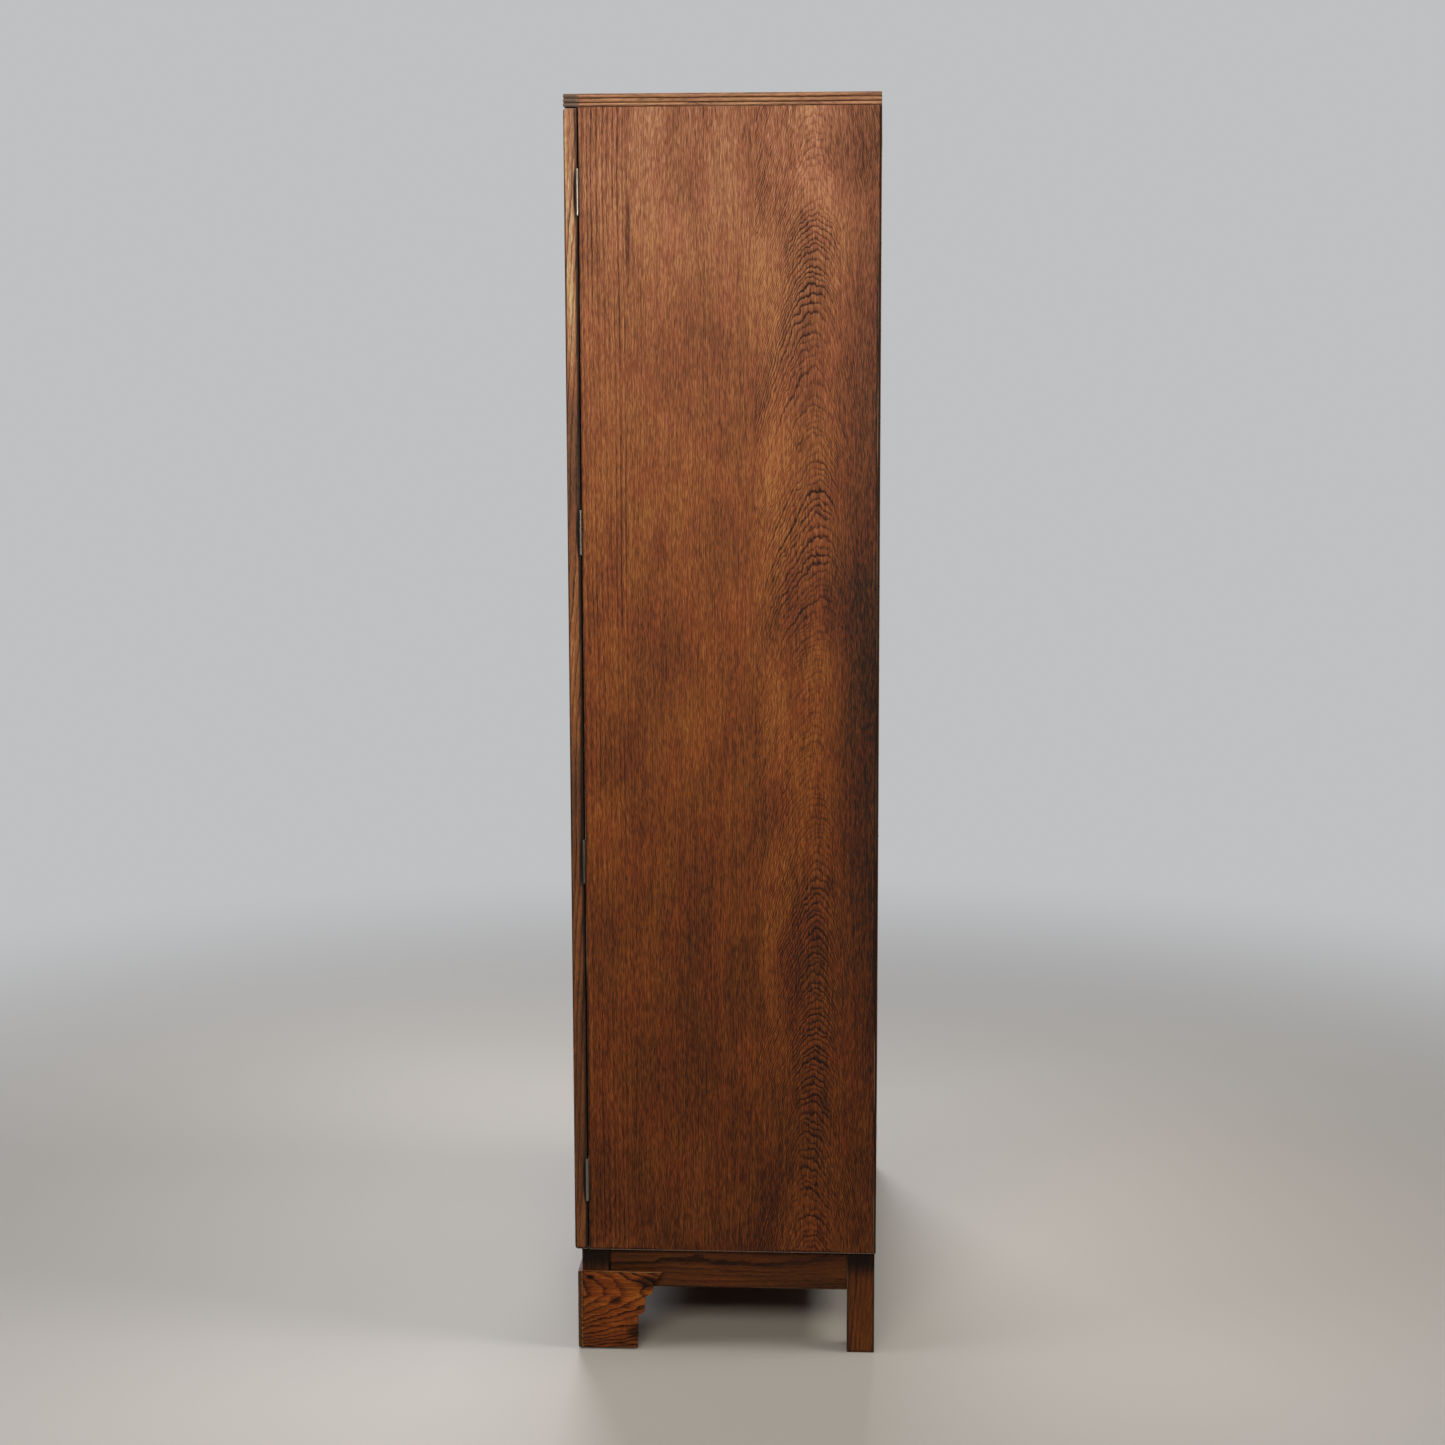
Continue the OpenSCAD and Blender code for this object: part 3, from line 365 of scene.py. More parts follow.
class WoodGraph:
    """Draws one piece of wood as nodes; every length in it is in millimetres."""

    def __init__(self, wood: StainedWood, lo: Vector, hi: Vector) -> None:
        """Starts the graph with the piece's own coordinates, grain last, and the features used twice.

        Args:
            wood: The finish to draw.
            lo: Lowest corner of the piece.
            hi: Its highest corner.
        """
        self.wood = wood
        self.made = new_material(wood.name)
        self.tree = self.made.node_tree
        self.half = (hi - lo) / 2 / MM
        self.middle = (hi + lo) / 2 / MM
        coords = self.add("TexCoord", out="Object")
        self.frame_mm = self.add("VectorMath", (coords, (1 / MM,) * 3), operation="MULTIPLY")
        self.from_middle = self.add("VectorMath", (self.frame_mm, self.middle), operation="SUBTRACT")
        split = self.add("SeparateXYZ", (self.from_middle,)).node
        order = [split.outputs[i] for i in wood.grain.value]
        self.place = self.add("CombineXYZ", order)
        self.along = order[2]
        self.streak = self.noise(wood.STREAK)
        self.cloud = self.noise(wood.CLOUD)
        self.arris = self.arris_distance()
        self.dark, self.figure, self.tone = self.rings()
        crowded = self.add("MapRange", (self.dark, *wood.PORES_CROWD, wood.LATE_PORES), **SMOOTH)
        porous = self.add("MapRange", (self.noise(wood.PORE), *wood.PORE_SHOWS), **SMOOTH)
        self.pore = self.add("Math", (porous, crowded), operation="MULTIPLY")

    def add(self, kind: str, inputs: Mapping | Sequence = (), **rest: Any) -> Socket:
        """Adds a node to this piece's tree, as add_node does."""
        return add_node(self.tree, kind, inputs, **rest)

    def noise(self, pattern: Pattern, out: int = 0) -> Socket:
        """Lays a soft random pattern along the grain.

        Args:
            pattern: The pattern's size and layers.
            out: 0 for one value, 1 for three.

        Returns:
            The pattern, around its mean.
        """
        share = self.add("VectorMath", (self.place, [1 / s for s in pattern.size]), operation="MULTIPLY")
        moved = self.add("VectorMath", (share, (self.wood.seed + pattern.shift,) * 3), operation="ADD")
        return self.add("TexNoise", {"Vector": moved, "Scale": 1.0, "Detail": pattern.detail}, out=out)

    def by_leaf(self, values: Sequence[Vector]) -> Socket:
        """Changes three values at the joints between the veneer's leaves.

        Args:
            values: The three values of each leaf, front to back.

        Returns:
            The values of the leaf that each point lies on.
        """
        y = self.add("SeparateXYZ", (self.frame_mm,), out=1)
        picked = self.add("CombineXYZ", list(values[0]))
        for leaf, before, here in zip(self.wood.leaves[1:], values, values[1:]):
            past = self.add("Math", (y, leaf.start), operation="GREATER_THAN")
            picked = self.add("VectorMath", (past, here - before, picked), operation="MULTIPLY_ADD")
        return picked

    def bend(self) -> Socket:
        """Bends the log: a slow drift along the stem and small waves on it.

        Returns:
            The piece's coordinates in the straight log.
        """
        wood = self.wood
        reach = [2 * wood.drift, 2 * wood.wave]
        if wood.leaves:
            sway = self.by_leaf([Vector((2 * leaf.drift, 2 * leaf.wave, 0.0)) for leaf in wood.leaves])
            reach = [self.add("SeparateXYZ", (sway,), out=i) for i in range(2)]
        bent = self.place
        for pattern, far in zip((wood.DRIFT, wood.WAVE), reach):
            pull = self.add("VectorMath", (self.noise(pattern, out=1), (NOISE_MEAN,) * 3),
                            operation="SUBTRACT")
            pull = self.add("VectorMath", {0: pull, "Scale": far}, operation="SCALE")
            bent = self.add("VectorMath", (bent, pull), operation="ADD")
        return bent

    def rings(self) -> tuple[Socket, Socket | float, Socket | float]:
        """Draws growth rings about the log's pith.

        Returns:
            How dark each point of its ring is, how strong the figure is, and the leaf's own tone.
        """
        wood = self.wood
        if wood.leaves:
            outward = math.copysign(1, self.middle.x)
            cut = self.by_leaf([Vector((outward * (self.half.x - leaf.depth), leaf.pith - self.middle.y,
                                        1 / leaf.ring)) for leaf in wood.leaves])
            look = self.by_leaf([Vector((leaf.taper, leaf.figure, leaf.tone)) for leaf in wood.leaves])
            density = self.add("SeparateXYZ", (cut,), out=2)
            taper, figure, tone = (self.add("SeparateXYZ", (look,), out=i) for i in range(3))
        else:
            cut = self.add("CombineXYZ", (*wood.pith, 0.0))
            density, taper, figure, tone = 1 / wood.ring, wood.taper, 1.0, 0.0
        from_pith = self.add("VectorMath", (self.bend(), cut), operation="SUBTRACT")
        flat = self.add("VectorMath", (from_pith, (1.0, 1.0, 0.0)), operation="MULTIPLY")
        radius = self.add("VectorMath", (flat,), out="Value", operation="LENGTH")
        grown = self.add("Math", (self.along, taper, radius), operation="MULTIPLY_ADD")
        era = self.add("Math", (grown, 1 / wood.YEARS), operation="MULTIPLY")
        weather = self.add("TexNoise", {"W": era, "Scale": 1.0, "Detail": 1.0}, noise_dimensions="1D")
        grown = self.add("Math", (weather, wood.WEATHER * wood.YEARS, grown), operation="MULTIPLY_ADD")
        ring = self.add("Math", (grown, density), operation="MULTIPLY")
        share = self.add("Math", (ring,), operation="FRACT")
        number = self.add("Math", (ring,), operation="FLOOR")
        year = self.add("TexWhiteNoise", {"W": number}, noise_dimensions="1D")
        band = self.add("ValToRGB", (share,), stops=[(place, grey(dark)) for place, dark in wood.RING])
        strength = self.add("MapRange", (year, 0.0, 1.0, wood.FAINTEST_RING), **SMOOTH)
        return self.add("Math", (band, strength), operation="MULTIPLY"), figure, tone

    def stain(self, patch: Stain) -> Socket:
        """Masks one patch, with an edge torn by the clouds.

        Args:
            patch: Where the patch is.

        Returns:
            1 on the patch, and 0 away from it.
        """
        off = self.add("VectorMath", (self.frame_mm, patch.middle), operation="SUBTRACT")
        share = self.add("VectorMath", (off, [1 / h for h in patch.half]), operation="MULTIPLY")
        far = self.add("VectorMath", (share,), out="Value", operation="LENGTH")
        torn = self.add("Math", (self.cloud, self.wood.TORN, far), operation="MULTIPLY_ADD")
        return self.add("MapRange", (torn, *self.wood.STAIN_FADES), **SMOOTH)

    def arris_distance(self) -> Socket:
        """Measures from a point of the surface to the box's nearest arris.

        On a face the distance to that face is nought, so the middle one of the three is wanted.

        Returns:
            The distance.
        """
        size = self.add("VectorMath", (self.from_middle,), operation="ABSOLUTE")
        inside = self.add("VectorMath", (self.half, size), operation="SUBTRACT")
        x, y, z = (self.add("SeparateXYZ", (inside,), out=i) for i in range(3))
        least = self.add("Math", (x, y), operation="MINIMUM")
        most = self.add("Math", (x, y), operation="MAXIMUM")
        capped = self.add("Math", (most, z), operation="MINIMUM")
        return self.add("Math", (least, capped), operation="MAXIMUM")

    def level(self) -> Socket:
        """Adds up figure, pores, flecks, fibres, clouds, dark arrises, the piece's own patches and painted light by
        height.

        Returns:
            Where each point stands on the scale from pale to pore.
        """
        wood = self.wood
        shown = self.add("Math", (self.dark, self.figure), operation="MULTIPLY")
        for patch in wood.calm:
            faint = self.add("Math", (self.stain(patch), -patch.strength, 1.0), operation="MULTIPLY_ADD")
            shown = self.add("Math", (shown, faint), operation="MULTIPLY")
        patchy = self.add("MapRange", (self.noise(wood.PATCH), *wood.PATCH_SHOWS, 1 - wood.patchy), **SMOOTH)
        shown = self.add("Math", (shown, patchy), operation="MULTIPLY")
        level = self.add("Math", (shown, wood.figure, self.tone), operation="MULTIPLY_ADD")
        fleck = self.add("MapRange", (self.noise(wood.FLECK), *wood.FLECK_SHOWS), **SMOOTH)
        border = self.add("Math", (self.cloud, wood.DARK_WANDER, self.arris), operation="MULTIPLY_ADD")
        start = NOISE_MEAN * wood.DARK_WANDER
        near = self.add("MapRange", (border, start + wood.dark_edge_mm, start), **SMOOTH)
        features = [(self.pore, wood.pores), (fleck, wood.speckle), (self.streak, wood.fibre),
                    (self.cloud, wood.cloud), (near, wood.dark_edge)]
        features += [(self.stain(patch), patch.strength) for patch in wood.stains]
        for feature, weight in features:
            level = self.add("Math", (feature, weight, level), operation="MULTIPLY_ADD")
        # Painted light: darker towards the foot and paler towards the top.
        if wood.fade:
            height = self.add("SeparateXYZ", (self.frame_mm,), out=2)
            paler = self.add("MapRange", (height, 0.0, FULL_HEIGHT, wood.fade, -wood.fade), **SMOOTH)
            level = self.add("Math", (level, paler), operation="ADD")
        settled = wood.base - NOISE_MEAN * (wood.fibre + wood.cloud)
        return self.add("Math", (level, settled), operation="ADD")

    def colour(self, level: Socket) -> Socket:
        """Colours the wood, its end grain and its rubbed arrises, which also carry a painted highlight.

        Args:
            level: Where each point stands on the scale from pale to pore.

        Returns:
            The colour.
        """
        wood, tones = self.wood, self.wood.tones
        scale = zip(wood.LEVELS, (tones.pale, tones.mid, tones.dark, tones.pore))
        colour = self.add("ValToRGB", (level,), stops=[(place, linear(tone)) for place, tone in scale])
        warmth = self.add("MapRange", (self.noise(wood.BLUSH), *wood.BLUSH_SHOWS, SAME_HUE - wood.blush,
                                       SAME_HUE + wood.blush), **SMOOTH)
        colour = self.add("HueSaturation", {"Hue": warmth, "Color": colour})
        reach = self.add("Math", (self.along,), operation="ABSOLUTE")
        inward = self.add("Math", (self.half[wood.grain.value[2]], reach), operation="SUBTRACT")
        ends = self.add("MapRange", (inward, *wood.END_DEPTH), **SMOOTH)
        # Arrises rubbed bare, in a paler, greyer colour that also paints a highlight along them.
        border = self.add("Math", (self.streak, wood.WEAR_AND_HIGHLIGHT_WANDER, self.arris), operation="MULTIPLY_ADD")
        bare = self.add("MapRange", (border, wood.WEAR_AND_HIGHLIGHT_START + wood.wear_and_highlight_mm, wood.WEAR_AND_HIGHLIGHT_START), **SMOOTH)
        for mask, share, tone in ((ends, wood.end_grain, tones.end), (bare, wood.wear_and_highlight, tones.worn)):
            amount = self.add("Math", (mask, share), operation="MULTIPLY")
            colour = self.add("Mix", {0: amount, 6: colour, 7: linear(tone)}, out=2, data_type="RGBA")
        return colour

    def material(self) -> bpy.types.Material:
        """Joins the features into colour, roughness and surface relief.

        Returns:
            The finished material.
        """
        wood, level = self.wood, self.level()
        dull = self.add("Math", (level, wood.dulling, wood.roughness), operation="MULTIPLY_ADD")
        rough = self.add("Math", (self.cloud, wood.CLOUD_DULLS, dull), operation="MULTIPLY_ADD")
        sunk = self.add("Math", (self.pore, -wood.PORE_SINKS, self.streak), operation="MULTIPLY_ADD")
        relief = self.add("Math", (self.dark, -wood.RING_SINKS, sunk), operation="MULTIPLY_ADD")
        normal = self.add("Bump", {
            "Height": relief, "Strength": wood.RELIEF, "Distance": wood.RELIEF_MM * MM})
        surface = self.add("BsdfPrincipled", {
            "Base Color": self.colour(level), "Roughness": rough, "Normal": normal, "IOR": wood.IOR,
            "Specular IOR Level": wood.gloss})
        self.add("OutputMaterial", (surface,))
        return self.made


# ---- Metal, glass and paint ----


@dataclass(frozen=True)
class AgedMetal:
    """A metal whose polish has dulled in patches, with fine scratches.

    Bright and dull are its two colours, polished and dulled the roughness that goes with each.
    """

    name: str
    bright: str
    dull: str
    patch_mm: float
    scratch_mm: float
    polished: float
    dulled: float

    # Where a dull patch starts and is full. Scratches run along Z, about eight times as long as wide, and
    # real ones are too fine to show, so these are coarser. Last, how much they dull it, and their relief.
    DULL_SHOWS = (0.4, 0.62)
    RUBBED = (1.0, 1.0, 0.12)
    SCRATCH_DULLS = 0.12
    RELIEF = 0.25
    RELIEF_MM = 0.1

    def build(self) -> bpy.types.Material:
        """Makes the metal.

        Returns:
            The finished material.
        """
        made = new_material(self.name)
        tree = made.node_tree
        coords = add_node(tree, "TexCoord", out="Object")
        patch = add_node(tree, "TexNoise", {
            "Vector": coords, "Scale": 1 / (self.patch_mm * MM), "Detail": 4.0})
        worn = add_node(tree, "MapRange", (patch, *self.DULL_SHOWS), **SMOOTH)
        line = add_node(tree, "VectorMath", (coords, self.RUBBED), operation="MULTIPLY")
        scratch = add_node(tree, "TexNoise", {
            "Vector": line, "Scale": 1 / (self.scratch_mm * MM), "Detail": 2.0})
        colour = add_node(tree, "ValToRGB", (worn,), stops=(
            (0.0, linear(self.bright)), (1.0, linear(self.dull))))
        rough = add_node(tree, "Math", (worn, self.dulled - self.polished, self.polished),
                         operation="MULTIPLY_ADD")
        rough = add_node(tree, "Math", (scratch, self.SCRATCH_DULLS, rough), operation="MULTIPLY_ADD")
        normal = add_node(tree, "Bump", {
            "Height": scratch, "Strength": self.RELIEF, "Distance": self.RELIEF_MM * MM})
        surface = add_node(tree, "BsdfPrincipled", {
            "Base Color": colour, "Metallic": 1.0, "Roughness": rough, "Normal": normal})
        add_node(tree, "OutputMaterial", (surface,))
        return made


@dataclass(frozen=True)
class DrawnGlass:
    """Old drawn sheet glass: clear, faintly green, smooth, with long slow waves that bend reflections."""

    name: str = "drawn sheet glass"
    tint: str = "#eef5f0"
    roughness: float = 0.015
    ior: float = 1.52
    wave_mm: float = 60.0
    wave_height_mm: float = 0.05

    # The sheet was drawn upwards, so a wave is about three times as long along Z.
    DRAWN = (1.0, 1.0, 0.35)

    def build(self) -> bpy.types.Material:
        """Makes the glass, which lets lamps light what is behind it.

        Returns:
            The finished material.
        """
        made = new_material(self.name)
        tree = made.node_tree
        coords = add_node(tree, "TexCoord", out="Object")
        drawn = add_node(tree, "VectorMath", (coords, self.DRAWN), operation="MULTIPLY")
        wave = add_node(tree, "TexNoise", {"Vector": drawn, "Scale": 1 / (self.wave_mm * MM), "Detail": 1.0})
        normal = add_node(tree, "Bump", {
            "Height": wave, "Strength": 1.0, "Distance": self.wave_height_mm * MM})
        glass = add_node(tree, "BsdfPrincipled", {
            "Base Color": linear(self.tint), "Roughness": self.roughness, "IOR": self.ior,
            "Transmission Weight": 1.0, "Normal": normal})
        clear = add_node(tree, "BsdfTransparent", (linear(self.tint),))
        lamp_ray = add_node(tree, "LightPath", out="Is Shadow Ray")
        both = add_node(tree, "MixShader", (lamp_ray, glass, clear))
        add_node(tree, "OutputMaterial", (both,))
        return made


@dataclass(frozen=True)
class PaintedFloor:
    """Screed with flat pale paint: even and matt, with a roller's faint cloudiness; it melts away far off.

    Fade is how far from the middle it starts to melt away and is gone, in metres.
    """

    name: str = "flat painted floor"
    paint: str = "#989590"
    roughness: float = 0.6
    uneven: float = 0.1
    gloss: float = 0.2
    cloud_mm: float = 900.0
    fade: tuple[float, float] = (0.9, 3.2)

    def build(self) -> bpy.types.Material:
        """Makes the paint.

        Returns:
            The finished material.
        """
        made = new_material(self.name)
        tree = made.node_tree
        coords = add_node(tree, "TexCoord", out="Object")
        cloud = add_node(tree, "TexNoise", {"Vector": coords, "Scale": 1 / (self.cloud_mm * MM)})
        rough = add_node(tree, "Math", (cloud, self.uneven, self.roughness), operation="MULTIPLY_ADD")
        paint = add_node(tree, "BsdfPrincipled", {
            "Base Color": linear(self.paint), "Roughness": rough, "Specular IOR Level": self.gloss})
        open_air = add_node(tree, "BsdfTransparent")
        far = add_node(tree, "VectorMath", (coords,), out="Value", operation="LENGTH")
        gone = add_node(tree, "MapRange", (far, *self.fade), **SMOOTH)
        both = add_node(tree, "MixShader", (gone, paint, open_air))
        add_node(tree, "OutputMaterial", (both,))
        return made


# ---- Finishes ----

# Oak stained red-brown: the pores hold the most stain, the hard late wood the least.
CASE_TONES = Tones(pale="#865c36", mid="#693818", dark="#441f09", pore="#180c07", worn="#927d69")
# Thin leaves sliced from one log and glued edge to edge: tall crowns beside straight stripes, short dark flecks all
# over, clouds where the stain took unevenly, and a low sheen of wax. Its arrises are rubbed pale with a painted
# highlight, and painted light makes it darker towards the foot and paler towards the top.
SIDE_VENEER = StainedWood(
    "sliced oak veneer, stained and waxed", CASE_TONES, Grain.Z, drift=8.0, wave=1.9, figure=0.85,
    patchy=0.6, base=0.285, pores=0.26, speckle=0.4, fibre=0.42, cloud=0.6, dark_edge=0.34, wear_and_highlight=0.3,
    wear_and_highlight_mm=0.9, gloss=0.12, fade=0.16)
# The same veneer along the top, sliced further from the pith: quieter, slowly drifting stripes.
TOP_VENEER = StainedWood(
    "sliced oak veneer, stained and waxed, top", CASE_TONES, Grain.X, pith=(160.0, 34.0), ring=4.2,
    taper=0.05, drift=16.0, wave=1.8, figure=0.4, fibre=0.4, cloud=0.42, dark_edge=0.1, wear_and_highlight=0.0)
# Solid oak of the doors: like the case but a paler tan; painted light makes it a little darker towards the foot and
# paler towards the top.
DOOR_OAK = StainedWood(
    "planed oak, stained and waxed, doors", Tones("#9d9069", "#714323", "#3f2413", "#180e09"), Grain.Z,
    pith=(60.0, 30.0), ring=4.2, taper=0.03, figure=0.45, base=0.36, pores=0.25, fibre=0.5, cloud=0.7,
    dark_edge=0.5, dark_edge_mm=2.4, wear_and_highlight=0.0, fade=0.04)
# The same oak laid across, with the same painted light: its stripes lie level and end at the stiles, and its arrises
# are barely darkened.
DOOR_RAIL_OAK = replace(DOOR_OAK, name="planed oak, stained and waxed, rails", grain=Grain.X, dark_edge=0.1)
# Planed oak of the stand: plainer and redder, cloudy and dull, with pale arrises that feet have rubbed and that carry
# a painted highlight.
STAND_OAK = StainedWood(
    "planed oak, stained and waxed, stand", Tones("#754119", "#4b2811", "#29150a", "#110805"), Grain.Z,
    pith=(70.0, 44.0), ring=3.2, figure=0.45, fibre=0.5, cloud=0.75, dark_edge=0.25, wear_and_highlight=0.3,
    gloss=0.09)
# Plain-sawn oak with wild grain: broad orange late wood between black bands of pores, and pale arrises, rubbed and
# with a painted highlight.
BRACKET_OAK = StainedWood(
    "plain-sawn oak, stained and waxed, brackets",
    Tones("#9c5a1e", "#683411", "#30170a", "#110804", worn="#b58c62", end="#402917"), Grain.Y,
    pith=(70.0, 24.0), ring=2.5, taper=0.1, drift=12.0, wave=1.8, figure=0.75, patchy=0.3, base=0.26,
    pores=0.5, fibre=0.4, cloud=0.8, dark_edge_mm=2.0, wear_and_highlight=0.5, gloss=0.08)
# Oak run through a moulding plane and handled ever since: a paler, greyer tan that partly paints the sheen of its
# reeds, with dark end grain at the corner.
LIPPING_OAK = StainedWood(
    "moulded oak lipping, stained and waxed",
    Tones("#ab8664", "#855f44", "#4b301f", "#190e09", end="#3b3530"), Grain.Y, pith=(30.0, 22.0),
    dark_edge=0.2, wear_and_highlight=0.22)
# Planed oak with one thin coat of stain: a warm even brown with broad, soft rings.
INSIDE_OAK = StainedWood(
    "planed oak, thinly stained, inside", Tones("#ab7447", "#86532d", "#573018", "#241309"), Grain.X,
    pith=(150.0, 30.0), ring=3.8, drift=14.0, figure=0.38, wear_and_highlight=0.2)
# A moulded bead is too narrow to show rings: a smooth brown strip with darker edges.
BEAD_OAK = replace(INSIDE_OAK, name="moulded oak bead, stained", figure=0.05, pores=0.12, speckle=0.08,
                   fibre=0.12, dark_edge=0.2)
# Rotary-cut birch faces: broad wandering figure, soft fibres, hardly any pores, no polish.
BACK_PLY = StainedWood(
    "rotary-cut birch plywood, thinly stained", Tones("#8f6239", "#744b29", "#4d2f18", "#26160c"), Grain.Z,
    pith=(30.0, 190.0), ring=9.0, taper=0.01, drift=60.0, wave=2.0, pores=0.05, speckle=0.05, fibre=0.5,
    cloud=0.6, dark_edge=0.7, dark_edge_mm=2.6, wear_and_highlight=0.0, roughness=0.6, gloss=0.12)
# Sawn softwood: pale, with a slow yellow and brown figure and a furry matt surface.
BLOCK_PINE = StainedWood(
    "sawn pine", Tones("#c99d63", "#a87a44", "#7d5229", "#4f3117"), Grain.Z, pith=(40.0, 20.0), ring=4.0,
    figure=0.5, pores=0.02, speckle=0.05, fibre=0.6, dark_edge=0.1, wear_and_highlight=0.0, roughness=0.7, gloss=0.12)

# Cast and turned brass, polished once and dulled by hands since: warm, with brown patches.
BRASS = AgedMetal("cast brass, dulled", bright="#c2a163", dull="#937340", patch_mm=9.0, scratch_mm=0.5,
                  polished=0.24, dulled=0.42)
# Pressed mild steel, bright where it rubs and grey-brown where it has stood damp.
STEEL = AgedMetal("pressed steel, worn", bright="#8b8781", dull="#67615a", patch_mm=60.0, scratch_mm=0.4,
                  polished=0.24, dulled=0.4)
# Drawn steel pins and screws gone brown with age: dark, dull heads with a little glint left.
BROWN_STEEL = AgedMetal("steel wire, browned", bright="#7d746a", dull="#41342a", patch_mm=2.0,
                        scratch_mm=0.3, polished=0.4, dulled=0.65)


# ---- Meshes ----


def new_piece(name: str, mesh: bpy.types.Mesh, body: str) -> bpy.types.Object:
    """Makes a piece from a mesh.

    Args:
        name: Name of the piece.
        mesh: Its mesh, in the frame's coordinates.
        body: Body that the piece rides on.

    Returns:
        The piece.
    """
    obj = bpy.data.objects.new(name, mesh)
    bpy.context.scene.collection.objects.link(obj)
    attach(obj, body)
    return obj


def eased(node: str, width_mm: float) -> bpy.types.Object:
    """Stands in for a node with its arrises eased, as sandpaper leaves them.

    Args:
        node: Name of the node.
        width_mm: Width of the rounding.

    Returns:
        The eased piece, which rides on the node's body.
    """
    work = bmesh.new()
    work.from_mesh(frame["nodes"][node].data)
    bmesh.ops.remove_doubles(work, verts=work.verts, dist=TOUCHING)
    bmesh.ops.dissolve_limit(work, angle_limit=FLAT, verts=work.verts, edges=work.edges)
    mesh = bpy.data.meshes.new(f"{node}_eased")
    work.to_mesh(mesh)
    work.free()
    mesh.polygons.foreach_set("use_smooth", [True] * len(mesh.polygons))
    draft = bpy.data.objects.new("draft", mesh)
    bpy.context.scene.collection.objects.link(draft)
    rounding = draft.modifiers.new("rounding", "BEVEL")
    rounding.width = width_mm * MM
    rounding.segments = 2
    rounding.limit_method = "ANGLE"
    rounding.angle_limit = SHARP
    rounding.face_strength_mode = "FSTR_ALL"
    shading = draft.modifiers.new("shading", "WEIGHTED_NORMAL")
    shading.use_face_influence = True
    shape = bpy.data.meshes.new_from_object(draft.evaluated_get(bpy.context.evaluated_depsgraph_get()))
    bpy.data.objects.remove(draft)
    bpy.data.meshes.remove(mesh)
    piece = new_piece(f"{node}_eased", shape, frame["nodes"][node]["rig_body"])
    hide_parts(node)
    return piece


def scattered(name: str, part: bpy.types.Mesh, spots: Sequence[tuple[Vector, Vector]], body: str) -> bpy.types.Object:
    """Puts copies of a small part at many spots, as one piece.

    Args:
        name: Name of the piece.
        part: Mesh of the part, facing +Z from its origin.
        spots: Place and facing direction of each copy.
        body: Body that the piece rides on.

    Returns:
        The piece; each copy is turned about its own axis by chance.
    """
    draw = random.Random(name)
    whole = bmesh.new()
    for place, facing in spots:
        turn = Matrix.Rotation(draw.uniform(0, math.pi), 4, "Z")
        stand = Matrix.Translation(place) @ facing.to_track_quat("Z", "Y").to_matrix().to_4x4() @ turn
        before = len(whole.verts)
        whole.from_mesh(part)
        whole.verts.ensure_lookup_table()
        bmesh.ops.transform(whole, matrix=stand, verts=whole.verts[before:])
    mesh = bpy.data.meshes.new(name)
    whole.to_mesh(mesh)
    whole.free()
    return new_piece(name, mesh, body)


def arc(middle: tuple[float, float], reach: tuple[float, float], angles: range) -> Outline:
    """Draws a round stretch of an outline, at angles in degrees from 0 outwards to 90 upwards."""
    turns = [math.radians(angle) for angle in angles]
    return [(middle[0] + reach[0] * math.cos(t), middle[1] + reach[1] * math.sin(t)) for t in turns]


def turned(profile: Outline, steps: int, name: str) -> bpy.types.Mesh:
    """Spins a closed profile of radius and height, in millimetres, about Z.

    Args:
        profile: Points from the axis out and back to the axis.
        steps: Number of faces round.
        name: Name of the mesh.

    Returns:
        The closed mesh.
    """
    work = bmesh.new()
    points = [work.verts.new((r * MM, 0.0, z * MM)) for r, z in profile]
    edges = [work.edges.new(pair) for pair in zip(points, points[1:])]
    bmesh.ops.spin(work, geom=points + edges, cent=(0, 0, 0), axis=(0, 0, 1), angle=math.tau, steps=steps,
                   use_merge=True)
    bmesh.ops.remove_doubles(work, verts=work.verts, dist=TOUCHING)
    bmesh.ops.recalc_face_normals(work, faces=work.faces)
    mesh = bpy.data.meshes.new(name)
    work.to_mesh(mesh)
    work.free()
    return mesh


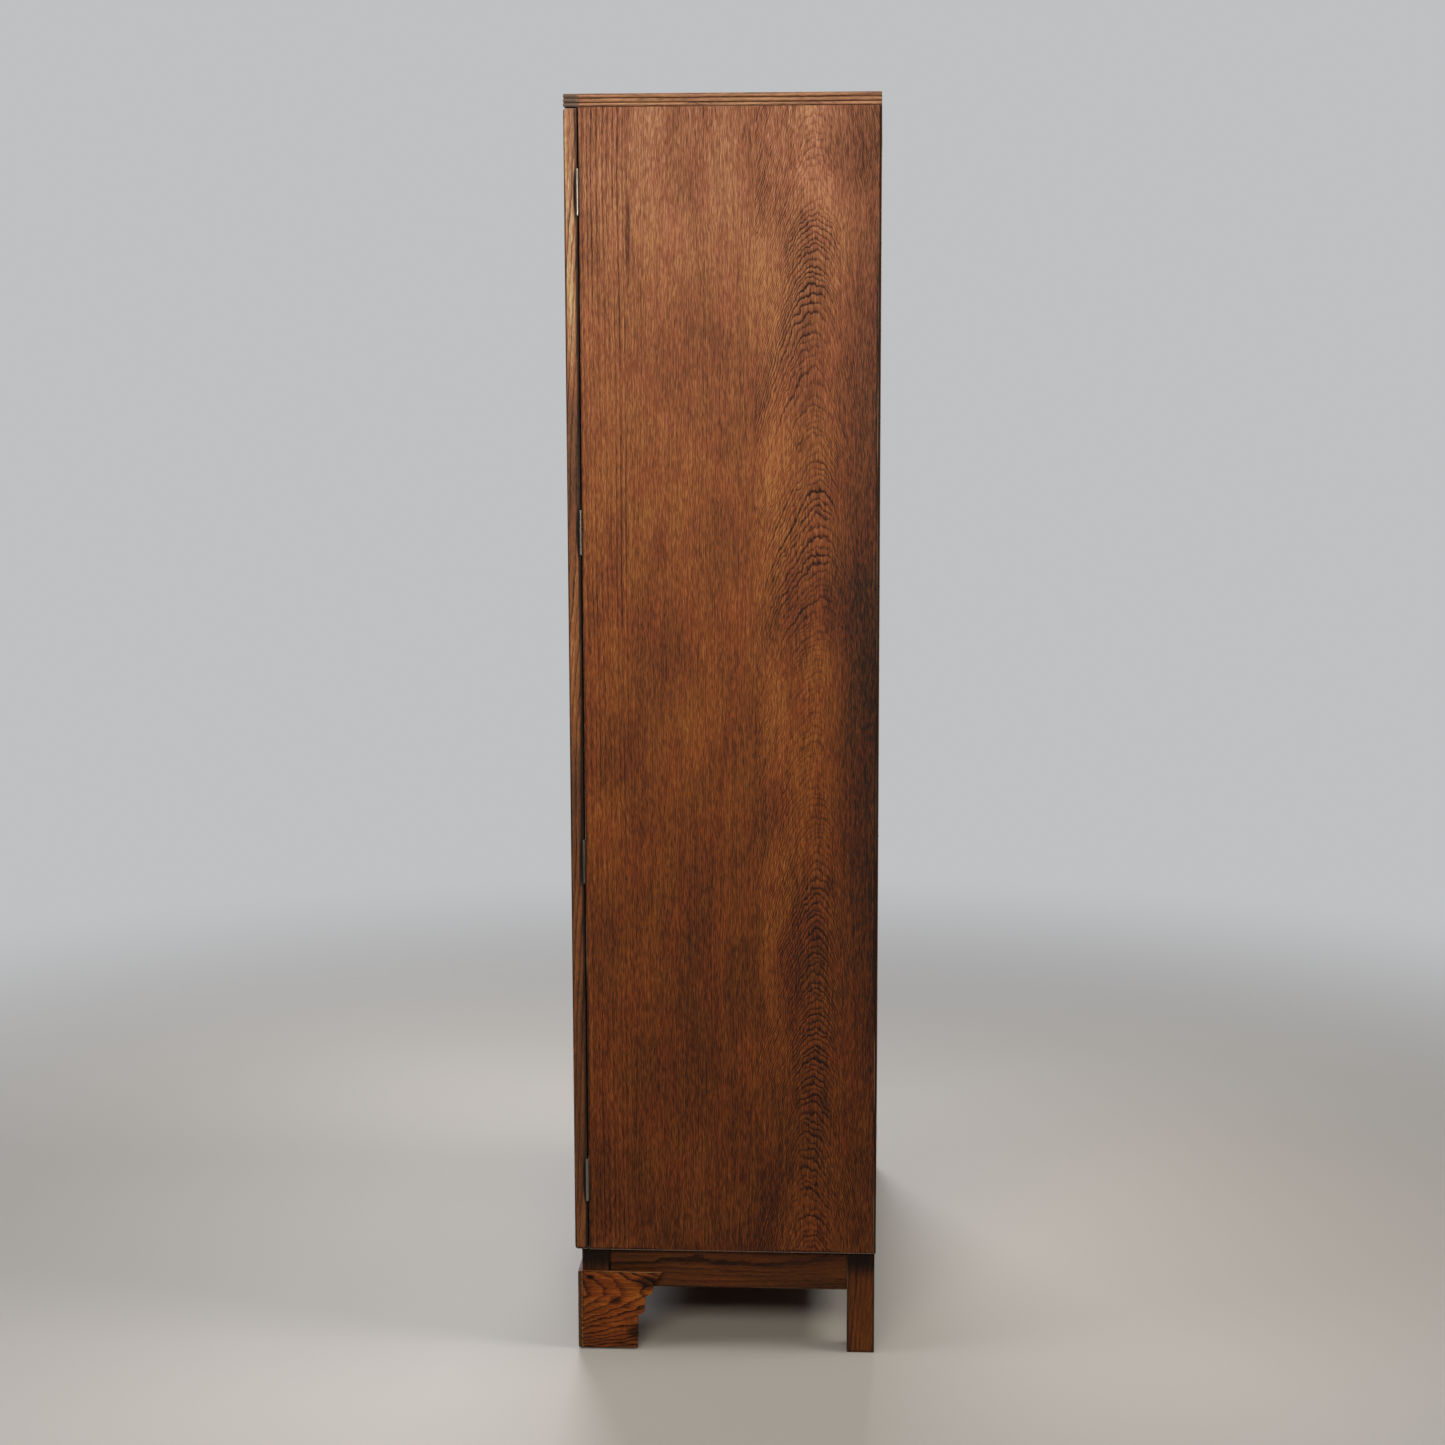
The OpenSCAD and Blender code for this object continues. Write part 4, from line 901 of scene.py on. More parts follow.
@dataclass(frozen=True)
class SlottedScrew:
    """Wood screw seen from outside: a shallow dome with a slot across it, sunk or standing proud."""

    head_d: float
    shank_d: float
    depth: float
    slot_w: float
    slot_depth: float
    dome: float = 0.12
    proud: float = 0.0

    # Where the head's cone ends under the surface, and the dome's shoulder in shares of radius and height.
    CONE_END = 0.1
    SHOULDER = (0.6, 0.7)
    FACES = 24
    # The cutter is this many times as long as the head is wide.
    OVERSHOOT = 1.2

    def mesh(self) -> bpy.types.Mesh:
        """Makes the head, facing +Z, with the surface that it is screwed to at the origin's height.

        Returns:
            The slotted head.
        """
        head, shank, rim = self.head_d / 2, self.shank_d / 2, self.proud
        out, up = self.SHOULDER
        profile = [(0, -self.depth), (shank, -self.depth), (head, -self.CONE_END), (head, rim),
                   (head * out, rim + self.dome * up), (0, rim + self.dome)]
        return self.cut(turned(profile, self.FACES, "screw head"))

    def cut(self, whole: bpy.types.Mesh) -> bpy.types.Mesh:
        """Cuts the slot across a head.

        Args:
            whole: The head without its slot.

        Returns:
            The slotted head.
        """
        tool = bmesh.new()
        size = (self.head_d * self.OVERSHOOT * MM, self.slot_w * MM, 2 * self.slot_depth * MM)
        place = Matrix.Translation((0, 0, self.proud * MM)) @ Matrix.Diagonal((*size, 1))
        bmesh.ops.create_cube(tool, size=1.0, matrix=place)
        cutter_mesh = bpy.data.meshes.new("slot")
        tool.to_mesh(cutter_mesh)
        tool.free()
        head, cutter = (bpy.data.objects.new("draft", m) for m in (whole, cutter_mesh))
        for draft in (head, cutter):
            bpy.context.scene.collection.objects.link(draft)
        slotting = head.modifiers.new("slot", "BOOLEAN")
        slotting.object = cutter
        slotting.solver = "EXACT"
        made = bpy.data.meshes.new_from_object(head.evaluated_get(bpy.context.evaluated_depsgraph_get()))
        for draft in (head, cutter):
            bpy.data.objects.remove(draft)
        return made


@dataclass(frozen=True)
class RoundPin:
    """Wire pin seen from outside: a round domed head, its rim set into the surface."""

    head_d: float
    rise: float

    # How deep the rim is set; its side in shares of the rise; the shoulder in shares of radius and rise.
    SET_IN = 0.3
    SIDE = 0.3
    SHOULDER = (0.6, 0.85)
    FACES = 12

    def mesh(self) -> bpy.types.Mesh:
        """Makes the head, facing +Z, with the surface that it is driven into at the origin's height.

        Returns:
            The head.
        """
        radius = self.head_d / 2
        out, up = self.SHOULDER
        profile = [(0, -self.SET_IN), (radius, -self.SET_IN), (radius, self.rise * self.SIDE),
                   (radius * out, self.rise * up), (0, self.rise)]
        return turned(profile, self.FACES, "pin head")


# ---- Sub-assemblies ----


def dress(node: str, wood: StainedWood, stand_in: bpy.types.Object | None = None) -> bpy.types.Object:
    """Gives a node, or the piece that stands for it, its own cut of a wood.

    Args:
        node: Name of the node, whose box the wood fills.
        wood: The finish.
        stand_in: The piece that stands for the node, if one does.

    Returns:
        The object that wears the wood.
    """
    obj = stand_in or frame["nodes"][node]
    wear_material(obj, wood.build(*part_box(node)))
    return obj


def outer_face(node: str, hand: str) -> float:
    """Finds the X, in millimetres, of the outer face of a node that is on one side of the case."""
    lo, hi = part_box(node)
    return (hi.x if hand == "right" else lo.x) / MM


@dataclass(frozen=True)
class SidePanel:
    """One side's veneer: its leaves from front to back, its gathered stain, and where its figure is faint.

    A patch has its middle along Y and Z, its half-sizes along Y and Z, and its strength.
    """

    hand: str
    seed: float
    leaves: tuple[Leaf, ...]
    stains: tuple[tuple[float, ...], ...]
    calm: tuple[tuple[float, ...], ...]

    # A patch goes through the whole panel.
    PATCH_DEPTH = 60.0

    def patches(self, rows: Sequence[tuple[float, ...]]) -> tuple[Stain, ...]:
        """Places patches on the panel's outer face.

        Args:
            rows: The patches.

        Returns:
            The same patches in the frame.
        """
        face = outer_face(f"side_{self.hand}", self.hand)
        return tuple(Stain((face, y, z), (self.PATCH_DEPTH, across, tall), strength)
                     for y, z, across, tall, strength in rows)

    def build(self, easing: float) -> None:
        """Eases and veneers the panel.

        Args:
            easing: Width of its rounded arrises.
        """
        node = f"side_{self.hand}"
        wood = replace(SIDE_VENEER, name=f"{SIDE_VENEER.name}, {self.hand}", leaves=self.leaves,
                       seed=self.seed, stains=self.patches(self.stains), calm=self.patches(self.calm))
        dress(node, wood, eased(node, easing))


# The right side's leaves are straight-grained, rift-cut, and crowned. Its stain gathered at the rear top
# corner, behind the crowns and beside the door; its figure is faint at the foot of the first leaf, at the
# waist and top of the third, and along the back.
RIGHT_PANEL = SidePanel(
    "right", 11.0,
    leaves=(
        Leaf(pith=-330.0, depth=30.0, ring=6.8, taper=0.003, figure=0.7, tone=-0.06, drift=5.0, wave=0.6),
        Leaf(pith=320.0, depth=120.0, ring=2.7, taper=0.01, figure=0.25, tone=0.0, drift=8.0, wave=1.2,
             start=-122.0),
        Leaf(pith=139.0, depth=50.0, ring=2.45, taper=0.24, figure=1.0, tone=-0.05, drift=20.0, wave=2.8,
             start=58.5)),
    stains=(
        (196.0, 1735.0, 56.0, 80.0, 0.17), (232.0, 1060.0, 66.0, 760.0, 0.42),
        (172.0, 1105.0, 52.0, 75.0, 0.12), (-118.0, 1600.0, 3.4, 70.0, 0.4),
        (50.0, 545.0, 18.0, 80.0, 0.08), (86.0, 950.0, 24.0, 900.0, -0.09),
        (160.0, 1090.0, 9.0, 60.0, 0.1), (148.0, 800.0, 10.0, 55.0, 0.1),
        (165.0, 690.0, 8.0, 30.0, 0.08), (-150.0, 855.0, 34.0, 40.0, 0.08)),
    calm=(
        (-150.0, 560.0, 60.0, 560.0, 0.55), (150.0, 930.0, 90.0, 240.0, 0.75),
        (140.0, 1730.0, 80.0, 120.0, 0.6), (224.0, 1000.0, 60.0, 1400.0, 0.85)))
# The left side's veneer comes from the same log, matched the other way round: the crowned leaf in front.
LEFT_PANEL = SidePanel(
    "left", 18.0,
    leaves=(
        Leaf(pith=-96.0, depth=50.0, ring=2.9, taper=0.24, figure=1.0, tone=-0.05, drift=20.0, wave=2.4),
        Leaf(pith=420.0, depth=140.0, ring=2.8, taper=0.01, figure=0.25, tone=0.01, drift=8.0, wave=1.2,
             start=-14.0),
        Leaf(pith=470.0, depth=36.0, ring=6.2, taper=0.004, figure=0.9, tone=0.0, drift=5.0, wave=0.6,
             start=148.0)),
    stains=((190.0, 230.0, 60.0, 130.0, 0.16), (-160.0, 1560.0, 40.0, 120.0, 0.2)),
    calm=((-90.0, 1180.0, 90.0, 230.0, 0.7), (190.0, 500.0, 60.0, 400.0, 0.5)))


@dataclass
class Case:
    """Sides, top, bottom, back, shelves and studs.

    Quirks are the grooves under a lipping's reeds, dark with painted shade. The plywood's edge is dark along both
    sides.
    """

    panels: tuple[SidePanel, ...] = (RIGHT_PANEL, LEFT_PANEL)
    easing: float = 0.7
    back_easing: float = 0.4
    pin: RoundPin = RoundPin(head_d=3.4, rise=0.3)
    pin_inset: float = 9.0
    pin_pitch: float = 150.0
    reeds: int = 3
    # Painted shade in the quirks: half-sizes of each dark line, and how dark it is.
    quirk_shade_half: Point = (2000.0, 2000.0, 0.85)
    quirk_shade_dark: float = 0.42
    ply_edge_half: Point = (3.0, 20.0, 2000.0)
    ply_edge_dark: float = 0.8

    def build(self) -> None:
        """Dresses the case and pins its back."""
        for panel in self.panels:
            panel.build(self.easing)
        self.top()
        self.inside()
        self.back()

    def top(self) -> None:
        """Veneers the top board and stains its reeded lippings, with painted shade in their quirks."""
        dress("top_board", TOP_VENEER.for_piece("top_board"))
        for end, grain in (("front", Grain.X), ("right", Grain.Y), ("left", Grain.Y)):
            node = f"top_lipping_{end}"
            dress(node, LIPPING_OAK.for_piece(node, grain=grain, stains=self.quirk_shade_lines(node)))

    def quirk_shade_lines(self, node: str) -> tuple[Stain, ...]:
        """Paints shade as a dark line in the quirk under each of a lipping's reeds.

        Args:
            node: Name of the lipping.

        Returns:
            One patch for each line.
        """
        lo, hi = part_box(node)
        heights = [(lo.z + (hi.z - lo.z) * i / self.reeds) / MM for i in range(self.reeds)]
        return tuple(Stain((0.0, 0.0, z), self.quirk_shade_half, self.quirk_shade_dark) for z in heights)

    def inside(self) -> None:
        """Dresses the bottom panel, the shelves and their brass studs."""
        dress("bottom_panel", INSIDE_OAK.for_piece("bottom_panel"),
              eased("bottom_panel", self.easing))
        for node in sorted(n for n in frame["nodes"] if n.startswith("shelf_") and n != "shelf_studs"):
            dress(node, INSIDE_OAK.for_piece(node))
        wear_material(frame["nodes"]["shelf_studs"], BRASS_MATERIAL)

    def back(self) -> None:
        """Dresses the plywood back, set in so that its pins end where the frame's back does."""
        lo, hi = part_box("back_panel")
        edges = tuple(Stain((x / MM, hi.y / MM, FULL_HEIGHT / 2), self.ply_edge_half, self.ply_edge_dark)
                      for x in (lo.x, hi.x))
        panel = dress("back_panel", BACK_PLY.for_piece("back_panel", pith=BACK_PLY.pith, stains=edges),
                      eased("back_panel", self.back_easing))
        hi.y -= self.pin.rise * MM
        for point in panel.data.vertices:
            if point.co.y > (lo.y + hi.y) / 2:
                point.co.y -= self.pin.rise * MM
        spots = [(place, Vector((0, 1, 0))) for place in self.pin_places(lo, hi)]
        wear_material(scattered("back_pins", self.pin.mesh(), spots, "case"), BROWN_STEEL_MATERIAL)

    def pin_places(self, lo: Vector, hi: Vector) -> list[Vector]:
        """Spaces the pins along both sides of the back and its foot.

        Args:
            lo: Lowest corner of the back.
            hi: Its highest corner, on the face that the pins go into.

        Returns:
            Place of each pin.
        """
        inset, pitch = self.pin_inset * MM, self.pin_pitch * MM
        rise, across = hi.z - lo.z - 2 * inset, hi.x - lo.x - 2 * inset
        up, along = round(rise / pitch), round(across / pitch)
        sides = [Vector((x, hi.y, lo.z + inset + rise * i / up))
                 for i in range(up + 1) for x in (lo.x + inset, hi.x - inset)]
        foot = [Vector((lo.x + inset + across * i / along, hi.y, lo.z + inset)) for i in range(1, along)]
        return sides + foot


@dataclass
class Stand:
    """Legs, rails, glue blocks and the stepped bracket boards.

    The shade is a painted shadow at each leg's top, under the case: how far under the top its middle is, its
    half-sizes and strength.
    A blot is a black patch of a bracket board: shares of its length and height, half-sizes, strength.
    """

    easing: float = 1.0
    bracket_easing: float = 0.7
    block_easing: float = 0.5
    # Painted shadow under the case at each leg's top.
    shade_drop: float = 4.0
    shade_half: Point = (80.0, 80.0, 30.0)
    painted_shade: float = 0.6
    blots: tuple[tuple[float, ...], ...] = (
        (0.1, 0.92, 7.0, 5.0, 0.6), (0.84, 0.86, 22.0, 11.0, 0.35), (0.42, 0.62, 9.0, 7.0, 0.35),
        (0.66, 0.22, 14.0, 12.0, 0.35))

    def bracket_blots(self, node: str, hand: str, grain: Grain) -> tuple[Stain, ...]:
        """Places a bracket board's black patches.

        Args:
            node: Name of the board.
            hand: Side of the case that it stands on.
            grain: Direction that the board runs in, from the corner of the case.

        Returns:
            The patches.
        """
        lo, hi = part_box(node)
        size = hi - lo
        patches = []
        for share, rise, reach, tall, strength in self.blots:
            run = 1 - share if grain is Grain.X and hand == "right" else share
            x, y = (run, 0.5) if grain is Grain.X else (0.5, run)
            spot = Vector((lo.x + x * size.x, lo.y + y * size.y, lo.z + rise * size.z)) / MM
            patches.append(Stain(tuple(spot), (reach, reach, tall), strength))
        return tuple(patches)

    def leg(self, node: str) -> None:
        """Dresses one leg, with painted shade at its top under the case.

        Args:
            node: Name of the leg.
        """
        lo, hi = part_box(node)
        x, y, top = (lo.x + hi.x) / 2 / MM, (lo.y + hi.y) / 2 / MM, hi.z / MM
        # Painted shade where the case overhangs the leg's top.
        painted_shade = Stain((x, y, top - self.shade_drop), self.shade_half, self.painted_shade)
        dress(node, STAND_OAK.for_piece(node, stains=(painted_shade,)), eased(node, self.easing))

    def build(self) -> None:
        """Dresses the stand."""
        for place in ("front", "rear"):
            for hand in HANDS:
                self.leg(f"leg_{place}_{hand}")
        for end, grain in (("front", Grain.X), ("rear", Grain.X), ("right", Grain.Y), ("left", Grain.Y)):
            node = f"rail_{end}"
            dress(node, STAND_OAK.for_piece(node, grain=grain), eased(node, self.easing))
        for hand in HANDS:
            for face, grain in (("side", Grain.Y), ("front", Grain.X)):
                node = f"bracket_{face}_{hand}"
                wood = BRACKET_OAK.for_piece(node, grain=grain, stains=self.bracket_blots(node, hand, grain))
                dress(node, wood, eased(node, self.bracket_easing))
        dress("corner_blocks", BLOCK_PINE, eased("corner_blocks", self.block_easing))


@dataclass
class Knob:
    """Turned brass knob: rose, waisted neck and a flattened ball, on a spigot in the stile.

    Sizes are those of the frame's knob. The ball takes up a share of the reach, and the neck cuts into it.
    """

    hand: str
    rose_d: float = 22.0
    rose_t: float = 2.5
    rose_r: float = 1.5
    neck_d: float = 9.0
    spigot_d: float = 5.0
    spigot_l: float = 10.0
    cove_r: float = 4.0
    head_share: float = 0.52
    steps: int = 64

    # Directions, in degrees, that the rounded rim, the cove and the ball run through.
    RIM_ARC = range(15, 91, 15)
    COVE_ARC = range(270, 179, -15)
    BALL_ARC = range(-60, 90, 5)

    def profile(self, head_d: float, out: float) -> Outline:
        """Draws the knob's outline from the spigot's end out to the nose.

        Args:
            head_d: Diameter of the ball.
            out: How far the nose stands from the door.

        Returns:
            Radius and height of each point, in millimetres.
        """
        spigot, rose, neck = self.spigot_d / 2, self.rose_d / 2, self.neck_d / 2
        rim, cove, half = self.rose_r, self.cove_r, out * self.head_share / 2
        points = [(0.0, -self.spigot_l), (spigot, -self.spigot_l), (spigot, 0.0), (rose, 0.0),
                  (rose, self.rose_t - rim)]
        points += arc((rose - rim, self.rose_t - rim), (rim, rim), self.RIM_ARC)
        points += arc((neck + cove, self.rose_t + cove), (cove, cove), self.COVE_ARC)
        points += arc((0.0, out - half), (head_d / 2, half), self.BALL_ARC)
        return [*points, (0.0, out)]

    def build(self) -> None:
        """Turns the knob in place of the frame's faceted one."""
        node = f"knob_{self.hand}"
        lo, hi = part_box(node)
        profile = self.profile((hi.x - lo.x) / MM, (hi.y - lo.y) / MM - self.spigot_l)
        place = Vector(((lo.x + hi.x) / 2, hi.y - self.spigot_l * MM, (lo.z + hi.z) / 2))
        knob = scattered(f"{node}_turned", turned(profile, self.steps, node), [(place, Vector((0, -1, 0)))],
                         frame["nodes"][node]["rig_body"])
        knob.data.polygons.foreach_set("use_smooth", [True] * len(knob.data.polygons))
        knob.data.set_sharp_from_angle(angle=SHARP)
        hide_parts(node)
        wear_material(knob, BRASS_MATERIAL)


@dataclass
class Door:
    """One glazed door with its hinges and knob.

    The shade is a painted shadow on the stile beside each hinge, where the leaf's recess lies dark: its distance from
    the pin, its half-sizes, with how far it goes past the hinge's ends, and its strength. The arris is the stile's
    rear one, dark along its length. A stretch is a paler or darker length of the stile's outer edge: middle,
    half-length, strength; the long pale one at the top is painted light.
    """

    hand: str
    hinge_count: int = 4
    hinge_l: float = 63.5
    screw_pitch: float = 21.6
    screw_from_pin: float = 10.4
    leaf_gap: float = 1.2
    screw: SlottedScrew = SlottedScrew(head_d=5.7, shank_d=3.3, depth=1.25, slot_w=0.8, slot_depth=0.6)
    # Painted shadow beside each hinge, where the leaf's recess lies dark.
    shade_from_pin: float = 3.6
    shade_half: tuple[float, float] = (14.0, 2.8)
    shade_past: float = 1.0
    painted_shade: float = 1.3
    arris_inset: float = 1.0
    arris_middle: float = 1300.0
    arris_half: Point = (6.0, 3.2, 1400.0)
    arris_dark: float = 0.4
    # The long pale stretch at the top of the edge is painted light; the shorter ones vary its tone.
    stretch_half: tuple[float, float] = (4.0, 20.0)
    stretches: tuple[tuple[float, float, float], ...] = (
        (1740.0, 340.0, -0.21), (1290.0, 120.0, 0.08), (1010.0, 110.0, -0.12), (810.0, 110.0, 0.14))

    def build(self) -> None:
        """Dresses the frame, glass, beads and metalwork."""
        stile = f"{self.hand}_hinge_stile"
        dress(stile, DOOR_OAK.for_piece(stile, stains=self.hinge_shade() + self.edge_stains()))
        for part, wood in (("meeting_stile", DOOR_OAK), ("top_rail", DOOR_RAIL_OAK),
                           ("bottom_rail", DOOR_RAIL_OAK), ("glazing_bars", DOOR_RAIL_OAK),
                           ("beads", BEAD_OAK)):
            node = f"{self.hand}_{part}"
            dress(node, wood.for_piece(node))
        wear_material(frame["nodes"][f"{self.hand}_panes"], GLASS_MATERIAL)
        Knob(self.hand).build()
        for part in ("case_hinge_leaves", "door_hinge_leaves", "hinge_pins"):
            wear_material(frame["nodes"][f"{part}_{self.hand}"], STEEL_MATERIAL)
        self.hinge_screws()

    def hinge_middles(self) -> tuple[float, float, list[float]]:
        """Finds the pins.

        Returns:
            X and Y of the pins' axis and the middle height of each hinge, in metres.
        """
        lo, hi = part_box(f"hinge_pins_{self.hand}")
        z0, z1 = lo.z + self.hinge_l / 2 * MM, hi.z - self.hinge_l / 2 * MM
        heights = [z0 + (z1 - z0) * i / (self.hinge_count - 1) for i in range(self.hinge_count)]
        return (lo.x + hi.x) / 2, (lo.y + hi.y) / 2, heights

    def hinge_shade(self) -> tuple[Stain, ...]:
        """Places the painted shade beside the hinges.

        Returns:
            One patch for each hinge.
        """
        x, y, heights = self.hinge_middles()
        half = (*self.shade_half, self.hinge_l / 2 + self.shade_past)
        return tuple(Stain((x / MM, y / MM - self.shade_from_pin, z / MM), half, self.painted_shade) for z in heights)

    def edge_stains(self) -> tuple[Stain, ...]:
        """Places the dark rear arris and the stretches of the outer edge.

        Returns:
            The arris first, then each stretch.
        """
        node = f"{self.hand}_hinge_stile"
        lo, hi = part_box(node)
        outer = outer_face(node, self.hand)
        middle, back = (lo.y + hi.y) / 2 / MM, hi.y / MM
        arris = Stain((outer, back - self.arris_inset, self.arris_middle), self.arris_half, self.arris_dark)
        stretches = tuple(Stain((outer, middle, z), (*self.stretch_half, reach), strength)
                          for z, reach, strength in self.stretches)
        return (arris, *stretches)

    def hinge_screws(self) -> None:
        """Drives three slotted screws into each leaf, their domes level with it."""
        pin_x, pin_y, middles = self.hinge_middles()
        x = pin_x - math.copysign(self.screw_from_pin * MM, pin_x)
        heights = [z + k * self.screw_pitch * MM for z in middles for k in (-1, 0, 1)]
        head = self.screw.mesh()
        reach = (self.leaf_gap / 2 + self.screw.dome) * MM
        for name, body, side in ((f"case_hinge_screws_{self.hand}", "case", 1),
                                 (f"door_hinge_screws_{self.hand}", f"door_{self.hand}", -1)):
            spots = [(Vector((x, pin_y + side * reach, z)), Vector((0, -side, 0))) for z in heights]
            wear_material(scattered(name, head, spots, body), BROWN_STEEL_MATERIAL)


@dataclass
class Lock:
    """Cupboard lock, key, escutcheon and strike plate.

    Insets are from the lock case's edges and from the escutcheon's ends, below and above. The strike
    plate's screws stand at one distance above and below its middle.
    """

    screw: SlottedScrew = SlottedScrew(head_d=4.8, shank_d=2.9, depth=1.0, slot_w=0.7, slot_depth=0.5)
    case_screw: SlottedScrew = SlottedScrew(head_d=4.8, shank_d=2.9, depth=1.0, slot_w=0.7, slot_depth=0.45,
                                            dome=0.25, proud=0.5)
    screw_inset: float = 5.5
    strike_screw: float = 14.4
    pin: RoundPin = RoundPin(head_d=2.0, rise=0.6)
    pin_inset: tuple[float, float] = (3.2, 3.4)

    def build(self) -> None:
        """Dresses the lock's metalwork and fixes it."""
        nodes = frame["nodes"]
        for node in ("escutcheon", "lock_case", "lock_bolt", "strike_plate"):
            wear_material(nodes[node], BRASS_MATERIAL)
        wear_material(nodes["key"], STEEL_MATERIAL)
        inset = self.screw_inset * MM
        lo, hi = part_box("lock_case")
        case = [(Vector((x, hi.y, z)), Vector((0, 1, 0)))
                for x in (lo.x + inset, hi.x - inset) for z in (lo.z + inset, hi.z - inset)]
        lo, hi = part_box("strike_plate")
        middle = (lo + hi) / 2
        strike = [(Vector((hi.x, middle.y, middle.z + side * self.strike_screw * MM)), Vector((1, 0, 0)))
                  for side in (-1, 1)]
        lo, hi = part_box("escutcheon")
        plate = [(Vector(((lo.x + hi.x) / 2, lo.y, z)), Vector((0, -1, 0)))
                 for z in (lo.z + self.pin_inset[0] * MM, hi.z - self.pin_inset[1] * MM)]
        for name, part, spots, body in (("lock_screws", self.case_screw, case, "door_right"),
                                        ("strike_screws", self.screw, strike, "door_left"),
                                        ("escutcheon_pins", self.pin, plate, "door_right")):
            wear_material(scattered(name, part.mesh(), spots, body), BRASS_MATERIAL)


@dataclass
class BarrelBolts:
    """The left door's top and bottom bolts; a guide's screws are placed from its middle and its ends."""

    screw: SlottedScrew = SlottedScrew(head_d=4.8, shank_d=2.9, depth=1.3, slot_w=0.7, slot_depth=0.5)
    base_t: float = 1.5
    screw_across: float = 7.6
    screw_along: float = 20.4

    def build(self) -> None:
        """Dresses the guides and rods and screws the guides down."""
        nodes = frame["nodes"]
        spots = []
        for end in ("top", "bottom"):
            lo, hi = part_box(f"{end}_bolt_guide")
            x, y = (lo.x + hi.x) / 2, lo.y + self.base_t * MM
            low, high = lo.z + self.screw_along * MM, hi.z - self.screw_along * MM
            spots += [(Vector((x + side * self.screw_across * MM, y, z)), Vector((0, 1, 0)))
                      for side, z in ((-1, low), (1, high), (-1, high), (1, low))]
            wear_material(nodes[f"{end}_bolt_guide"], BRASS_MATERIAL)
            wear_material(nodes[f"{end}_bolt_rod"], STEEL_MATERIAL)
        wear_material(scattered("bolt_guide_screws", self.screw.mesh(), spots, "door_left"),
                      BRASS_MATERIAL)


# ---- Floor, lights and camera ----


@dataclass(frozen=True)
class SoftLamp:
    """A rectangular diffused lamp: place, aim and size in metres, power in watts, beam in degrees."""

    name: str
    place: Point
    aim: Point
    size: tuple[float, float]
    power: float
    colour: str
    beam: float = 180.0

    def build(self) -> None:
        """Hangs the lamp."""
        data = bpy.data.lights.new(self.name, "AREA")
        data.shape = "RECTANGLE"
        data.size, data.size_y = self.size
        data.energy = self.power
        data.spread = math.radians(self.beam)
        data.color = linear(self.colour)[:3]
        lamp = bpy.data.objects.new(self.name, data)
        lamp.location = self.place
        lamp.rotation_euler = (Vector(self.aim) - Vector(self.place)).to_track_quat("-Z", "Y").to_euler()
        lamp.visible_camera = False
        bpy.context.scene.collection.objects.link(lamp)


